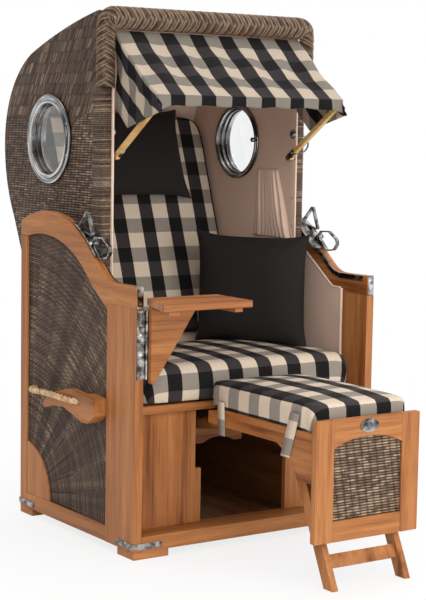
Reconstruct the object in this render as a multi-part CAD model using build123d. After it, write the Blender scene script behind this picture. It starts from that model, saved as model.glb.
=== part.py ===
from build123d import *
from math import cos, pi, radians, sin, sqrt, tan
import os

# A single-seat hooded beach chair, in millimetres.
# The front faces -Y, +X is to the right as seen from the front, and +Z is up.
# The chair is drawn about the centre of its base, and moved back at the end by base_set_back,
# so that the origin is on the ground under the middle of the whole chair with its footrest out.
# A side piece is drawn on the right (+X) and mirrored to the left.

# Clearances
overrun = 5.0
soft_gap = 0.4
settle_steps = 3
run_gap = 0.5
pin_gap = 0.3

# Base frame
base_width = 871.0
base_depth = 704.0
base_set_back = 157.0
board = 27.0
foot_height = 22.0
foot_width = 121.0
front_foot_depth = 93.0
back_foot_depth = 82.0
post_depth = 162.0
post_height = 708.0
arm_tip_height = 61.0
arm_heel_drop = 18.0
stile_depth = 42.0
side_rail_height = 48.0
front_rail_height = 44.0
front_rail_depth = 90.0
rear_rail_depth = 22.0
rear_top_rail_height = 30.0
rear_top_rail_top = 430.0

# Arm curve, about the hood pivot
pivot_y = 181.0
pivot_z = 591.0
arm_radius = 389.0
arm_curve_front = 256.0
arm_toe_length = 127.0
arm_toe_radius = 100.0
arm_toe_angle = 38.0
under_radius = 419.0
under_centre_back = 29.0
under_centre_drop = 103.0
under_curve_front = 299.0

# Side panels, gussets and inner linings
side_panel_thickness = 10.0
side_panel_inset = 7.0
gusset_radius = 170.0
gusset_thickness = 22.0
gusset_inset = 2.0
gusset_back_shift = 20.0
lining_thickness = 9.0
lining_set_back = 120.0
lining_tip_height = 743.0
lining_toe_length = 45.0
lining_margin = 50.0
lining_curve_front = 231.0

# Front of the base and the footrest opening
front_panel_set_back = 72.0
front_panel_thickness = 18.0
opening_low_half = 158.0
opening_high_half = 178.0
opening_step_height = 231.0
seat_rail_bottom = 412.0
seat_rail_height = 24.0
seat_rail_depth = 38.0
cleat_width = 22.0
cleat_height = 16.0

# Seat deck, floor and inner walls
deck_top = 445.0
deck_depth = 422.0
slat_thickness = 13.0
slat_count = 6
slat_gap = 10.0
batten_height = 18.0
batten_width = 25.0
floor_top = 62.0
floor_thickness = 12.0
floor_board_count = 6
floor_board_gap = 2.0
back_panel_thickness = 12.0
wall_gap = 3.0
wall_thickness = 15.0
wall_low_height = 278.0
runner_width = 9.5
runner_height = 20.0

# Metal fittings of the base
bracket_leg = 98.0
bracket_height = 17.0
bracket_bottom = 30.0
bracket_thickness = 2.5
strap_width = 20.0
strap_drop = 60.0
strap_thickness = 1.6
latch_rail_height = 16.0
latch_rail_thickness = 4.0
latch_rail_front = 22.0
latch_rail_back_offset = 121.0
notch_radius = 4.5
notch_count = 7
notch_pitch = 4.5
first_notch_angle = 104.0
pivot_bolt_radius = 8.0
pivot_washer_radius = 20.0

# Carrying handles
grip_length = 336.0
grip_height = 92.0
grip_centre_y = -21.0
grip_bottom = 371.0
grip_thickness = 22.0
grip_stand_off = 25.0
grip_foot_length = 72.0
grip_round = 11.0
rope_hole_gap = 1.0
grip_outline_shares = [(0.50, 0.0), (0.34, 0.62), (-0.06, 0.98), (-0.48, 0.82), (-0.50, 0.30),
                       (-0.38, 0.0), (-0.27, 0.0), (0.06, 0.32), (0.24, 0.26)]
rope_diameter = 18.0
rope_exit_y = 256.0
rope_exit_z = 415.0
rope_turn_y = 215.0
rope_turn_z = 424.0
rope_middle_y = 75.0
rope_middle_z = 431.0
rope_hole_y = -87.0
rope_hole_z = 427.0
rope_turn_share = 0.45

# Seat cushion and throw pillow
seat_cushion_width = 778.0
seat_cushion_depth = 484.0
seat_cushion_front = 325.0
seat_cushion_edge = 98.0
seat_cushion_crown = 16.0
pillow_width = 385.0
pillow_height = 345.0
pillow_edge = 30.0
pillow_crown = 48.0
pillow_x = 226.0
pillow_y = 15.0
pillow_turn = 61.0
pillow_draw_in = 14.0
cushion_under_crown = 1.0
cushion_draw_in = 7.0
cushion_bulge = 3.0

# Hood
hood_width = 752.0
hood_wall = 31.0
hood_front = -28.0
hood_bottom = 545.0
hood_back_bottom = 600.0
hood_shell = 30.0
hood_reach = 404.0
hood_rise = 994.0
roof_start_shares = (-0.4975, 1.0)
roof_mid_shares = (-0.077, 0.9628)
roof_end_shares = (0.4703, 0.8944)
crown_mid_shares = (0.8391, 0.7887)
crown_end_shares = (1.0, 0.6026)
back_mid_shares = (0.9629, 0.4748)
back_end_shares = (0.8342, 0.3551)
back_slope = 0.4855
lining_skin = 4.0
wrap_depth = 27.0
wrap_round = 9.0
braid_width = 57.0
braid_height = 49.0
braid_depth = 57.0
braid_back = -27.0
braid_overhang = 21.0
braid_top = 1598.0
braid_bottom = 1357.0
braid_corner = 55.0
braid_inner_corner = 18.0
braid_round = 24.0

# Portholes
porthole_y = 270.0
porthole_z = 1200.0
porthole_hole = 118.0
porthole_clear = 109.0
flange_radius = 138.0
flange_thickness = 9.0
inner_ring_radius = 125.0
inner_ring_thickness = 8.0
glass_thickness = 4.0
glass_depth = 6.0

# Backrest
back_lean = 19.3
back_foot_y = 280.4
back_foot_z = 545.0
back_board_thickness = 12.0
back_board_start = -42.0
back_board_length = 750.0
back_cushion_width = 664.0
back_cushion_start = 10.0
back_cushion_length = 756.0
back_cushion_edge = 38.0
back_cushion_crown = 8.0
headrest_width = 410.0
headrest_height = 296.0
headrest_edge = 16.0
headrest_crown = 22.0
headrest_up = 618.0
pocket_y = 55.0
pocket_bottom = 890.0
pocket_height = 222.0
pocket_width = 200.0
pocket_depth = 10.0
pocket_bulge = 5.0
pocket_swell_shares = (0.6, 1.0, 0.3)

# Latches on the hood
carrier_gap = 8.0
carrier_thickness = 3.5
carrier_first_angle = 114.6
carrier_last_angle = 137.3
carrier_overhang = 57.0
latch_pin_angle = 131.3
latch_pin_rise = 8.5
latch_pin_radius = 3.0
ear_width = 3.0
ear_spacing = 18.0
ear_reach = 5.0
bow_length = 93.0
bow_height = 64.5
bow_strip = 4.5
bow_width = 12.0
bow_round = 9.0
bow_eye = 7.0
bow_drop = 6.5
bow_outline_shares = [(0.075, 0.0), (0.075, 0.40), (-0.27, 0.875), (-0.775, 1.0), (-0.925, 0.845),
                      (-0.925, 0.44), (-0.71, 0.085), (-0.645, 0.0)]
loop_angle = 123.0
loop_tilt = 12.0
loop_width = 96.0
loop_height = 72.0
loop_strip = 5.0
loop_round = 6.0

# Awning
awning_pivot_y = -50.0
awning_pivot_z = 1155.0
awning_reach = 285.0
awning_rise = 34.0
arm_stick = 14.0
arm_inset = 9.0
arm_eye = 11.0
awning_pin_radius = 4.0
awning_cap_radius = 8.0
awning_cap_thickness = 3.0
rod_radius = 6.0
cloth = 4.0
canopy_top_y = -58.0
canopy_top_drop = 24.0
canopy_hem_height = 27.0
canopy_sag = 9.0
canopy_fold = 6.0
canopy_fold_count = 6
gusset_outline_shares = [(0.0, 0.0), (0.88, 0.87), (1.10, 1.12), (0.31, 1.36), (0.01, 1.06)]

# Side table
table_top_z = 761.5
table_thickness = 20.0
table_back_y = -362.0
table_depth = 183.0
table_left_back = 406.5
table_left_front = 466.0
table_right = 167.0
table_batten_height = 15.0
table_batten_front_gap = 25.0
left_batten_width = 38.0
left_batten_inset = 25.0
right_batten_width = 26.0
right_batten_inset = 17.0
table_bracket_thickness = 18.0
table_bracket_top_width = 163.0
table_bracket_tip_width = 12.0
table_bracket_height = 226.0
hinge_x = 403.5
hinge_y = -358.5
hinge_radius = 4.0
hinge_pin_radius = 2.0
hinge_bottom = 527.0
hinge_height = 198.0
hinge_leaf_width = 29.0
hinge_leaf_thickness = 2.5
hinge_knuckles = 7

# Footrest
footrest_half = 182.0
footrest_front = 869.0
front_thickness = 20.0
footrest_bottom = 128.0
footrest_top = 466.0
footrest_stile = 62.0
footrest_bottom_rail = 59.0
arch_spring = 386.0
arch_peak = 413.0
inlay_thickness = 8.0
plate_length = 64.0
plate_height = 38.0
plate_thickness = 2.0
plate_z = 442.0
apron_half = 174.0
apron_thickness = 18.0
apron_rear = 338.0
apron_bottom = 378.0
apron_top = 428.0
apron_taper_drop = 12.5
apron_taper_length = 92.0
wing_bottom = 290.0
wing_front_length = 76.0
wing_run = 98.0
wing_mid_run_share = 0.40
wing_mid_rise_share = 0.60
foot_slat_count = 6
foot_slat_thickness = 10.0
foot_slat_gap = 10.0
tail_rear = 124.0
tail_board_thickness = 18.0
tail_board_top = 345.0
tail_band_height = 20.0
tail_band_gap = 0.7
tail_board_half = 88.0
tail_board_bottom = 272.0
tail_arch_half = 58.0
tail_arch_rise = 16.0
tail_bar_outer = 110.0
tail_bar_thickness = 20.0
tail_bar_front = 600.0
tail_bar_shoulder = 345.0
footrest_travel = 440.0
footrest_drop = 58.0
foot_cushion_edge = 70.0
foot_cushion_crown = 16.0
foot_cushion_front = 843.0
foot_cushion_rear = 329.0
strap_cloth_width = 40.0
strap_cloth = 2.5
rear_strap_y = 408.0
front_strap_y = 738.0
strap_bottom = 350.0

# Folding leg
leg_half = 138.0
leg_thickness = 20.0
leg_width = 38.0
leg_tilt = 25.2
leg_pivot_y = -697.0
leg_pivot_z = 385.0
leg_pin_radius = 5.0
crossbar_centre = 69.0
crossbar_width = 38.0
crossbar_thickness = 18.0

# Derived places
x_out = base_width / 2
x_in = x_out - board
y_front = -base_depth / 2
y_back = base_depth / 2
post_top = foot_height + post_height
arm_top = post_top + arm_tip_height
post_rear = y_front + post_depth
stile_front = y_back - stile_depth
side_rail_top = foot_height + side_rail_height
front_rail_top = foot_height + front_rail_height
panel_y = y_front + front_panel_set_back
panel_rear_y = panel_y + front_panel_thickness
lining_inner_x = x_in - lining_thickness
lining_front_y = y_front + lining_set_back
deck_rear_y = panel_rear_y + deck_depth
slat_bottom = deck_top - slat_thickness
rear_rail_front = y_back - rear_rail_depth
wall_inner_x = opening_high_half + wall_gap + run_gap + wall_gap
hood_half = hood_width / 2
hood_inner = hood_half - hood_wall
skin_inner = hood_inner - lining_skin
braid_outer = hood_half + braid_overhang
braid_inner = braid_outer - braid_width
carrier_radius = arm_radius + carrier_gap
latch_x = hood_half + carrier_overhang - ear_width - ear_spacing / 2
grip_inner_x = x_out - side_panel_inset
grip_outer_x = grip_inner_x + grip_stand_off + grip_thickness
footrest_back_y = -footrest_front + front_thickness
drop_slope = footrest_drop / footrest_travel
arm_stick_x = skin_inner - arm_inset - arm_stick / 2
rod_y = awning_pivot_y - awning_reach * cos(radians(awning_rise))
rod_z = awning_pivot_z + awning_reach * sin(radians(awning_rise))


def block(x_span, y_span, z_span):
    """Box between two values along each axis."""
    spans = (x_span, y_span, z_span)
    sizes = [abs(high - low) for low, high in spans]
    centre = tuple((low + high) / 2 for low, high in spans)
    return Pos(*centre) * Box(*sizes)


def side_plate(face, x_span):
    """Plate with its outline drawn in the YZ plane, between two values of X."""
    low, high = min(x_span), max(x_span)
    return extrude(Plane.YZ.offset(low) * face, amount=high - low, dir=(1, 0, 0))


def front_plate(face, y_span):
    """Plate with its outline drawn in the XZ plane, between two values of Y."""
    low, high = min(y_span), max(y_span)
    return extrude(Plane.XZ.offset(-low) * face, amount=high - low, dir=(0, 1, 0))


def x_cylinder(radius, x_span, y, z):
    """Round bar along X."""
    low, high = min(x_span), max(x_span)
    return Pos((low + high) / 2, y, z) * Rot(Y=90) * Cylinder(radius, high - low)


def x_tube(outer, inner, x_span, y, z):
    """Round tube along X."""
    low, high = min(x_span), max(x_span)
    return x_cylinder(outer, x_span, y, z) - x_cylinder(inner, (low - overrun, high + overrun), y, z)


def flat_face(points):
    return make_face(Polyline(*points, close=True))


def round_face(points, radius):
    return make_face(FilletPolyline(*points, radius=radius, close=True))


def arc_face(edges):
    return make_face(edges)


def to_left(shape):
    return mirror(shape, about=Plane.YZ)


def both_sides(shape):
    return [shape, to_left(shape)]


def on_circle(radius, y, centre_y=pivot_y, centre_z=pivot_z):
    """Upper point of a circle in the YZ plane at a given Y."""
    return (y, centre_z + sqrt(radius ** 2 - (y - centre_y) ** 2))


def at_angle(radius, angle):
    """Point about the hood pivot, with the angle counted from +Y towards +Z."""
    return (pivot_y + radius * cos(radians(angle)), pivot_z + radius * sin(radians(angle)))


def shared_points(shares, length, height, start_y=0, start_z=0):
    return [(start_y + share_y * length, start_z + share_z * height) for share_y, share_z in shares]


# Base frame pieces

def under_point(y):
    """Point on the lower curve of an arm rail."""
    return on_circle(under_radius, y, pivot_y + under_centre_back, pivot_z - under_centre_drop)


def arm_face():
    """Side outline of an arm rail: a flat tip over the post, then a slope and a round shoulder."""
    toe_start = (y_front + arm_toe_length, arm_top)
    toe = JernArc(start=toe_start, tangent=(1, 0), radius=arm_toe_radius, arc_size=arm_toe_angle)
    toe_end = tuple(toe @ 1)[:2]
    curve_start = on_circle(arm_radius, pivot_y - arm_curve_front)
    curve_end = on_circle(arm_radius, y_back)
    under_rear = under_point(stile_front)
    under_front = under_point(pivot_y + under_centre_back - under_curve_front)
    return arc_face([
        Line((y_front, post_top), (y_front, arm_top)),
        Line((y_front, arm_top), toe_start),
        toe,
        Line(toe_end, curve_start),
        ThreePointArc(curve_start, on_circle(arm_radius, pivot_y), curve_end),
        Line(curve_end, (y_back, under_rear[1])),
        Line((y_back, under_rear[1]), under_rear),
        ThreePointArc(under_rear, under_point(pivot_y + under_centre_back), under_front),
        Line(under_front, (post_rear, post_top - arm_heel_drop)),
        Line((post_rear, post_top - arm_heel_drop), (post_rear, post_top)),
        Line((post_rear, post_top), (y_front, post_top)),
    ])


def arm_rail():
    return side_plate(arm_face(), (x_in, x_out))


def front_post():
    post = block((x_in, x_out), (y_front, post_rear), (foot_height, post_top))
    return post - arm_rail()


def rear_stile():
    return block((x_in, x_out), (stile_front, y_back), (foot_height, under_point(stile_front)[1]))


def side_bottom_rail():
    return block((x_in, x_out), (post_rear, stile_front), (foot_height, side_rail_top))


def gusset_face():
    """Quarter disc in the lower rear corner of a side."""
    disc = Pos(stile_front + gusset_back_shift, side_rail_top) * Circle(gusset_radius)
    corner = flat_face([(post_rear, side_rail_top), (stile_front, side_rail_top),
                        (stile_front, post_top), (post_rear, post_top)])
    return disc & corner


def corner_gusset():
    outer = x_out - gusset_inset
    return side_plate(gusset_face(), (outer - gusset_thickness, outer))


def side_panel():
    """Wicker field that fills the side between post, stile, bottom rail and arm."""
    top = under_point(pivot_y + under_centre_back)[1]
    field = flat_face([(post_rear, side_rail_top), (stile_front, side_rail_top), (stile_front, top),
                       (post_rear, top)])
    rest = field - arm_face() - gusset_face()
    outline = max(rest.faces(), key=lambda face: face.area)
    outer = x_out - side_panel_inset
    return side_plate(outline, (outer - side_panel_thickness, outer))


def lining_face():
    """Inner lining board: its top edge follows the arm."""
    radius = arm_radius - lining_margin
    toe_end = (lining_front_y + lining_toe_length, lining_tip_height)
    curve_start = on_circle(radius, pivot_y - lining_curve_front)
    curve_end = on_circle(radius, stile_front)
    return arc_face([
        Line((lining_front_y, floor_top), (lining_front_y, lining_tip_height)),
        Line((lining_front_y, lining_tip_height), toe_end),
        Line(toe_end, curve_start),
        ThreePointArc(curve_start, on_circle(radius, pivot_y), curve_end),
        Line(curve_end, (stile_front, floor_top)),
        Line((stile_front, floor_top), (lining_front_y, floor_top)),
    ])


def lining_board():
    return side_plate(lining_face(), (lining_inner_x, x_in))


def cross_rails():
    """Rails that join the two sides: one low at the front, one low and one high at the rear."""
    across = (-x_in, x_in)
    return [
        block(across, (y_front, y_front + front_rail_depth), (foot_height, front_rail_top)),
        block(across, (rear_rail_front, y_back), (foot_height, side_rail_top)),
        block(across, (rear_rail_front, y_back), (rear_top_rail_top - rear_top_rail_height,
                                                  rear_top_rail_top)),
    ]


def front_panel():
    """Board beside the opening, with a step where the opening widens."""
    face = flat_face([
        (opening_low_half, front_rail_top), (x_in, front_rail_top), (x_in, seat_rail_bottom),
        (opening_high_half, seat_rail_bottom), (opening_high_half, opening_step_height),
        (opening_low_half, opening_step_height),
    ])
    return front_plate(face, (panel_y, panel_rear_y))


def seat_front_rail():
    """Rail under the front of the seat, with a small cleat below each end."""
    rail_front = panel_rear_y - seat_rail_depth
    rail = block((-x_in, x_in), (rail_front, panel_rear_y),
                 (seat_rail_bottom, seat_rail_bottom + seat_rail_height))
    cleat = block((x_in - cleat_width, x_in), (rail_front, panel_y),
                  (seat_rail_bottom - cleat_height, seat_rail_bottom))
    return [rail] + both_sides(cleat)


def seat_deck():
    """Slats across the seat on two battens."""
    pitch = (deck_depth + slat_gap) / slat_count
    pieces = []
    for index in range(slat_count):
        start = panel_rear_y + index * pitch
        pieces.append(block((-lining_inner_x, lining_inner_x), (start, start + pitch - slat_gap),
                            (slat_bottom, deck_top)))
    batten = block((lining_inner_x - batten_width, lining_inner_x), (lining_front_y, deck_rear_y),
                   (slat_bottom - batten_height, slat_bottom))
    return pieces + both_sides(batten)


def floor_boards():
    pitch = (2 * x_in + floor_board_gap) / floor_board_count
    depth = (y_front + front_rail_depth, rear_rail_front)
    pieces = []
    for index in range(floor_board_count):
        start = -x_in + index * pitch
        pieces.append(block((start, start + pitch - floor_board_gap), depth,
                            (floor_top - floor_thickness, floor_top)))
    return pieces


def base_back_panel():
    middle = y_back - rear_rail_depth / 2
    return block((-x_in, x_in), (middle - back_panel_thickness / 2, middle + back_panel_thickness / 2),
                 (side_rail_top, rear_top_rail_top - rear_top_rail_height))


def runner_top(y):
    """Height of the sloped runner, which falls to the rear as the footrest does."""
    tail_front = -tail_rear - tail_board_thickness
    tail_bottom = tail_board_top - tail_band_height
    return tail_bottom - pin_gap - drop_slope * (y - tail_front)


def footrest_runner():
    """Inner wall beside the footrest, with the sloped batten that its tail slides on."""
    wall_face = flat_face([
        (panel_rear_y, floor_top), (rear_rail_front, floor_top), (rear_rail_front,
                                                                  floor_top + wall_low_height),
        (deck_rear_y, floor_top + wall_low_height), (deck_rear_y, slat_bottom), (panel_rear_y, slat_bottom),
    ])
    batten_face = flat_face([
        (panel_rear_y, runner_top(panel_rear_y)), (rear_rail_front, runner_top(rear_rail_front)),
        (rear_rail_front, runner_top(rear_rail_front) - runner_height),
        (panel_rear_y, runner_top(panel_rear_y) - runner_height),
    ])
    wall = side_plate(wall_face, (wall_inner_x, wall_inner_x + wall_thickness))
    return wall + side_plate(batten_face, (wall_inner_x - runner_width, wall_inner_x))


def foot_blocks():
    front = block((x_out - foot_width, x_out), (y_front, y_front + front_foot_depth), (0, foot_height))
    back = block((x_out - foot_width, x_out), (y_back - back_foot_depth, y_back), (0, foot_height))
    return both_sides(front) + both_sides(back)


def corner_brackets():
    """Steel angle round each lower corner of the base."""
    height = (bracket_bottom, bracket_bottom + bracket_height)
    outer_x = x_out + bracket_thickness
    outer_y = y_back + bracket_thickness
    angle = block((outer_x - bracket_leg, outer_x), (outer_y - bracket_leg, outer_y), height)
    angle -= block((outer_x - bracket_leg - overrun, x_out), (outer_y - bracket_leg - overrun, y_back),
                   (bracket_bottom - overrun, bracket_bottom + bracket_height + overrun))
    front = mirror(angle, about=Plane.XZ)
    return both_sides(angle) + both_sides(front)


def post_strap():
    """Chrome strap bent over the front tip of an arm."""
    inset = (board - strap_width) / 2
    span = (x_out - inset - strap_width, x_out - inset)
    top = block(span, (y_front - strap_thickness, y_front + strap_width),
                (arm_top, arm_top + strap_thickness))
    front = block(span, (y_front - strap_thickness, y_front), (arm_top - strap_drop, arm_top))
    return top + front


def latch_rail():
    """Notched steel strip along the inner top edge of an arm."""
    band = arm_face() - Pos(0, -latch_rail_height) * arm_face()
    window = flat_face([
        (y_front + latch_rail_front, post_top), (pivot_y - latch_rail_back_offset, post_top),
        (pivot_y - latch_rail_back_offset, pivot_z + arm_radius + overrun),
        (y_front + latch_rail_front, pivot_z + arm_radius + overrun),
    ])
    strip = max((band & window).faces(), key=lambda face: face.area)
    rail = side_plate(strip, (x_in - latch_rail_thickness, x_in))
    for index in range(notch_count):
        y, z = at_angle(arm_radius, first_notch_angle + index * notch_pitch)
        rail -= x_cylinder(notch_radius, (x_in - latch_rail_thickness - overrun, x_in + overrun), y, z)
    return rail


def pivot_bolt():
    """Bolt that the hood turns on, with its spacing washer against the base lining."""
    shaft = x_cylinder(pivot_bolt_radius, (hood_inner + run_gap, lining_inner_x), pivot_y, pivot_z)
    return shaft + x_cylinder(pivot_washer_radius, (hood_half + run_gap, lining_inner_x), pivot_y, pivot_z)


# Carrying handle

def grip():
    """Shaped teak grip with a foot at each end and a finger gap behind it."""
    points = shared_points(grip_outline_shares, grip_length, grip_height, grip_centre_y, grip_bottom)
    body = side_plate(round_face(points, grip_round), (grip_inner_x, grip_outer_x))
    gap_y = (grip_centre_y - grip_length / 2 + grip_foot_length,
             grip_centre_y + grip_length / 2 - grip_foot_length / 2)
    body -= block((grip_inner_x - overrun, grip_inner_x + grip_stand_off), gap_y,
                  (grip_bottom - overrun, grip_bottom + grip_height + overrun))
    y, z = rope_points()[-1][1:]
    return body - x_cylinder(rope_diameter / 2 + rope_hole_gap, (grip_outer_x - grip_thickness + overrun,
                                                                 grip_outer_x + overrun), y, z)


def rope_points():
    """Route of a handle rope, from the wicker panel along the grip and into its hole."""
    beside = grip_outer_x + rope_diameter / 2 + pin_gap
    return [
        (grip_inner_x, rope_exit_y, rope_exit_z),
        (beside, rope_turn_y, rope_turn_z),
        (beside, rope_middle_y, rope_middle_z),
        (beside, rope_hole_y, rope_hole_z),
        (beside - rope_diameter - overrun, rope_hole_y, rope_hole_z),
    ]


def turn_radii(points):
    """Largest arc at each inner point of a route that its two runs allow."""
    radii = []
    for before, here, after in zip(points, points[1:], points[2:]):
        first, second = Vector(*here) - Vector(*before), Vector(*after) - Vector(*here)
        half_turn = radians(first.get_angle(second)) / 2
        radii.append(rope_turn_share * min(first.length, second.length) / tan(half_turn))
    return radii


def handle_rope():
    points = rope_points()
    radii = turn_radii(points)
    path = FilletPolyline(*points, radius=radii)
    start = Plane(origin=points[0], z_dir=Vector(*points[1]) - Vector(*points[0]))
    rope = sweep(start * Circle(rope_diameter / 2), path=path)
    rope -= block((0, grip_inner_x), (y_front, y_back), (0, arm_top))
    print("rope arc radii", [round(radius, 1) for radius in radii])
    print("rope volume share", round(rope.volume / (pi * (rope_diameter / 2) ** 2 * path.length), 3))
    return rope


# Cushions

section_shares = [-1.0, -0.88, -0.5, 0, 0.5, 0.88, 1.0]
depth_loss_shares = [3.0, 0, 0.8, 1.0, 0.8, 0, 3.0]
edge_shares = [0.55, 0.86, 1.0, 1.0, 1.0, 0.86, 0.55]
crown_shares = [0.15, 0.45, 0.9, 1.0, 0.9, 0.45, 0.15]


def cushion_section(x, depth, edge, top_crown, bottom_crown, bulge):
    """One cross-section of a cushion: four shallow arcs."""
    y, z = depth / 2, edge / 2
    outline = make_face([
        ThreePointArc((-y, z), (0, z + top_crown), (y, z)),
        ThreePointArc((y, z), (y + bulge, 0), (y, -z)),
        ThreePointArc((y, -z), (0, -z - bottom_crown), (-y, -z)),
        ThreePointArc((-y, -z), (-y - bulge, 0), (-y, z)),
    ])
    return Plane.YZ.offset(x) * outline


def cushion(width, depth, edge, crown, under_crown, draw_in, bulge):
    """Crowned cushion lying flat, centred on the origin, with its sides drawn in."""
    sections = []
    for place, loss, edge_share, crown_share in zip(section_shares, depth_loss_shares, edge_shares,
                                                    crown_shares):
        sections.append(cushion_section(place * width / 2, depth - loss * draw_in, edge * edge_share,
                                        crown * crown_share, under_crown * crown_share, bulge))
    return loft(sections)


def settle(piece, support, direction):
    """Move a soft piece along a direction until it lies one soft gap from its support."""
    unit = Vector(*direction).normalized()
    for _ in range(settle_steps):
        piece = Pos(*(unit * (piece.distance_to(support) - soft_gap))) * piece
    return piece


def seat_cushion():
    body = cushion(seat_cushion_width, seat_cushion_depth, seat_cushion_edge, seat_cushion_crown,
                   cushion_under_crown, cushion_draw_in, cushion_bulge)
    centre_y = -seat_cushion_front + seat_cushion_depth / 2 + cushion_bulge
    return Pos(0, centre_y, deck_top + soft_gap + seat_cushion_edge / 2 + cushion_under_crown) * body


def throw_pillow(seat):
    """Loose pillow that stands on the seat in the right corner."""
    body = cushion(pillow_width, pillow_height, pillow_edge, pillow_crown, pillow_crown, pillow_draw_in,
                   cushion_bulge)
    upright = Rot(X=90) * body
    placed = Pos(pillow_x, pillow_y,
                 deck_top + seat_cushion_edge + pillow_height) * Rot(Z=-pillow_turn) * upright
    return settle(placed, seat, (0, 0, -1))


# Hood pieces

def hood_point(shares):
    return (pivot_y + shares[0] * hood_reach, pivot_z + shares[1] * hood_rise)


def hood_face(front=hood_front):
    """Side outline of the hood: roof, rounded rear crown, back and straight lower back."""
    roof_start = hood_point(roof_start_shares)
    roof_end = hood_point(roof_end_shares)
    crown_end = hood_point(crown_end_shares)
    back_end = hood_point(back_end_shares)
    foot = (back_end[0] - back_slope * (back_end[1] - hood_bottom), hood_bottom)
    return arc_face([
        Line((front, hood_bottom), (front, roof_start[1])),
        Line((front, roof_start[1]), roof_start),
        ThreePointArc(roof_start, hood_point(roof_mid_shares), roof_end),
        ThreePointArc(roof_end, hood_point(crown_mid_shares), crown_end),
        ThreePointArc(crown_end, hood_point(back_mid_shares), back_end),
        Line(back_end, foot),
        Line(foot, (front, hood_bottom)),
    ])


def hood_ring_face():
    """Section of the roof and back shell."""
    front = braid_back - 2 * hood_shell
    far = hood_reach + pivot_y + overrun
    ring = hood_face(front) - offset(hood_face(front), amount=-hood_shell)
    front_cut = flat_face([(front - overrun, 0), (braid_back, 0), (braid_back, braid_top),
                           (front - overrun, braid_top)])
    low_cut = flat_face([(front - overrun, 0), (far, 0), (far, hood_back_bottom),
                         (front - overrun, hood_back_bottom)])
    return max((ring - front_cut - low_cut).faces(), key=lambda face: face.area)


def braid_face(outer_corner, inner_corner):
    """Front view of the braid: an upside-down U."""
    outer = flat_face([(-braid_outer, braid_bottom), (braid_outer, braid_bottom),
                       (braid_outer, braid_top), (-braid_outer, braid_top)])
    low = braid_bottom - overrun
    high = braid_top - braid_height
    inner = flat_face([(-braid_inner, low), (braid_inner, low), (braid_inner, high), (-braid_inner, high)])
    if outer_corner:
        outer = fillet(outer.vertices().sort_by(Axis.Y)[-2:], outer_corner)
        inner = fillet(inner.vertices().sort_by(Axis.Y)[-2:], inner_corner)
    return outer - inner


def braid_block():
    """Plain space that the braid takes up, used to cut its neighbours."""
    return front_plate(braid_face(0, 0), (braid_back - braid_depth, braid_back))


def braid_roll():
    roll = front_plate(braid_face(braid_corner, braid_inner_corner), (braid_back - braid_depth, braid_back))
    front_rim = roll.faces().sort_by(Axis.Y)[0].outer_wire().edges()
    long_rim = [edge for edge in front_rim if edge.center().Z > braid_bottom + run_gap]
    return fillet(long_rim, braid_round)


def porthole_cut(x_span):
    return x_cylinder(porthole_hole, x_span, porthole_y, porthole_z)


def hood_side():
    wall = side_plate(hood_face(), (hood_inner, hood_half)) - braid_block()
    wall -= porthole_cut((hood_inner - overrun, hood_half + overrun))
    return wall - x_cylinder(pivot_bolt_radius + pin_gap, (hood_inner - overrun, hood_half + overrun),
                             pivot_y, pivot_z)


def hood_roof_back():
    return side_plate(hood_ring_face(), (-hood_inner, hood_inner)) - braid_block()


def hood_skin():
    """Thin lining on the inner face of a hood side."""
    outline = max((hood_face() - hood_ring_face()).faces(), key=lambda face: face.area)
    skin = side_plate(outline, (skin_inner, hood_inner)) - braid_block()
    return skin - porthole_cut((skin_inner - overrun, hood_inner + overrun))


def edge_wrap():
    """Wrapped wicker roll along the front edge of a hood side, below the braid."""
    strip = block((skin_inner, hood_half), (hood_front - wrap_depth, hood_front),
                  (hood_bottom, braid_bottom))
    front_edges = strip.edges().filter_by(Axis.Z).sort_by(Axis.Y)[:2]
    return fillet(front_edges, wrap_round)


def porthole_flange():
    tube = x_tube(porthole_hole, porthole_clear, (skin_inner, hood_half), porthole_y, porthole_z)
    return tube + x_tube(flange_radius, porthole_clear, (hood_half, hood_half + flange_thickness),
                         porthole_y, porthole_z)


def porthole_ring():
    return x_tube(inner_ring_radius, porthole_clear, (skin_inner - inner_ring_thickness, skin_inner),
                  porthole_y, porthole_z)


def porthole_glass():
    outer = hood_half - glass_depth
    return x_cylinder(porthole_clear, (outer - glass_thickness, outer), porthole_y, porthole_z)


def on_backrest(piece, up, out):
    """Place a flat-lying piece on the leaning backrest: its Y runs up and its Z points at the sitter."""
    return Pos(0, back_foot_y, back_foot_z) * Rot(X=90 - back_lean) * Pos(0, up, out) * piece


def backrest_board():
    board_piece = Box(2 * skin_inner, back_board_length, back_board_thickness)
    return on_backrest(board_piece, back_board_start + back_board_length / 2, -back_board_thickness / 2)


def backrest_cushion():
    body = cushion(back_cushion_width, back_cushion_length, back_cushion_edge, back_cushion_crown,
                   cushion_under_crown, cushion_draw_in, cushion_bulge)
    lift = soft_gap + cushion_under_crown + back_cushion_edge / 2
    return on_backrest(body, back_cushion_start + back_cushion_length / 2, lift)


def headrest_pillow(support):
    body = cushion(headrest_width, headrest_height, headrest_edge, headrest_crown, headrest_crown,
                   cushion_draw_in, cushion_bulge)
    lifted = back_cushion_edge + 2 * headrest_crown + headrest_edge
    into_back = Vector(0, 1, 0).rotate(Axis.X, -back_lean)
    return settle(on_backrest(body, headrest_up, lifted), support, tuple(into_back))


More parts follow.
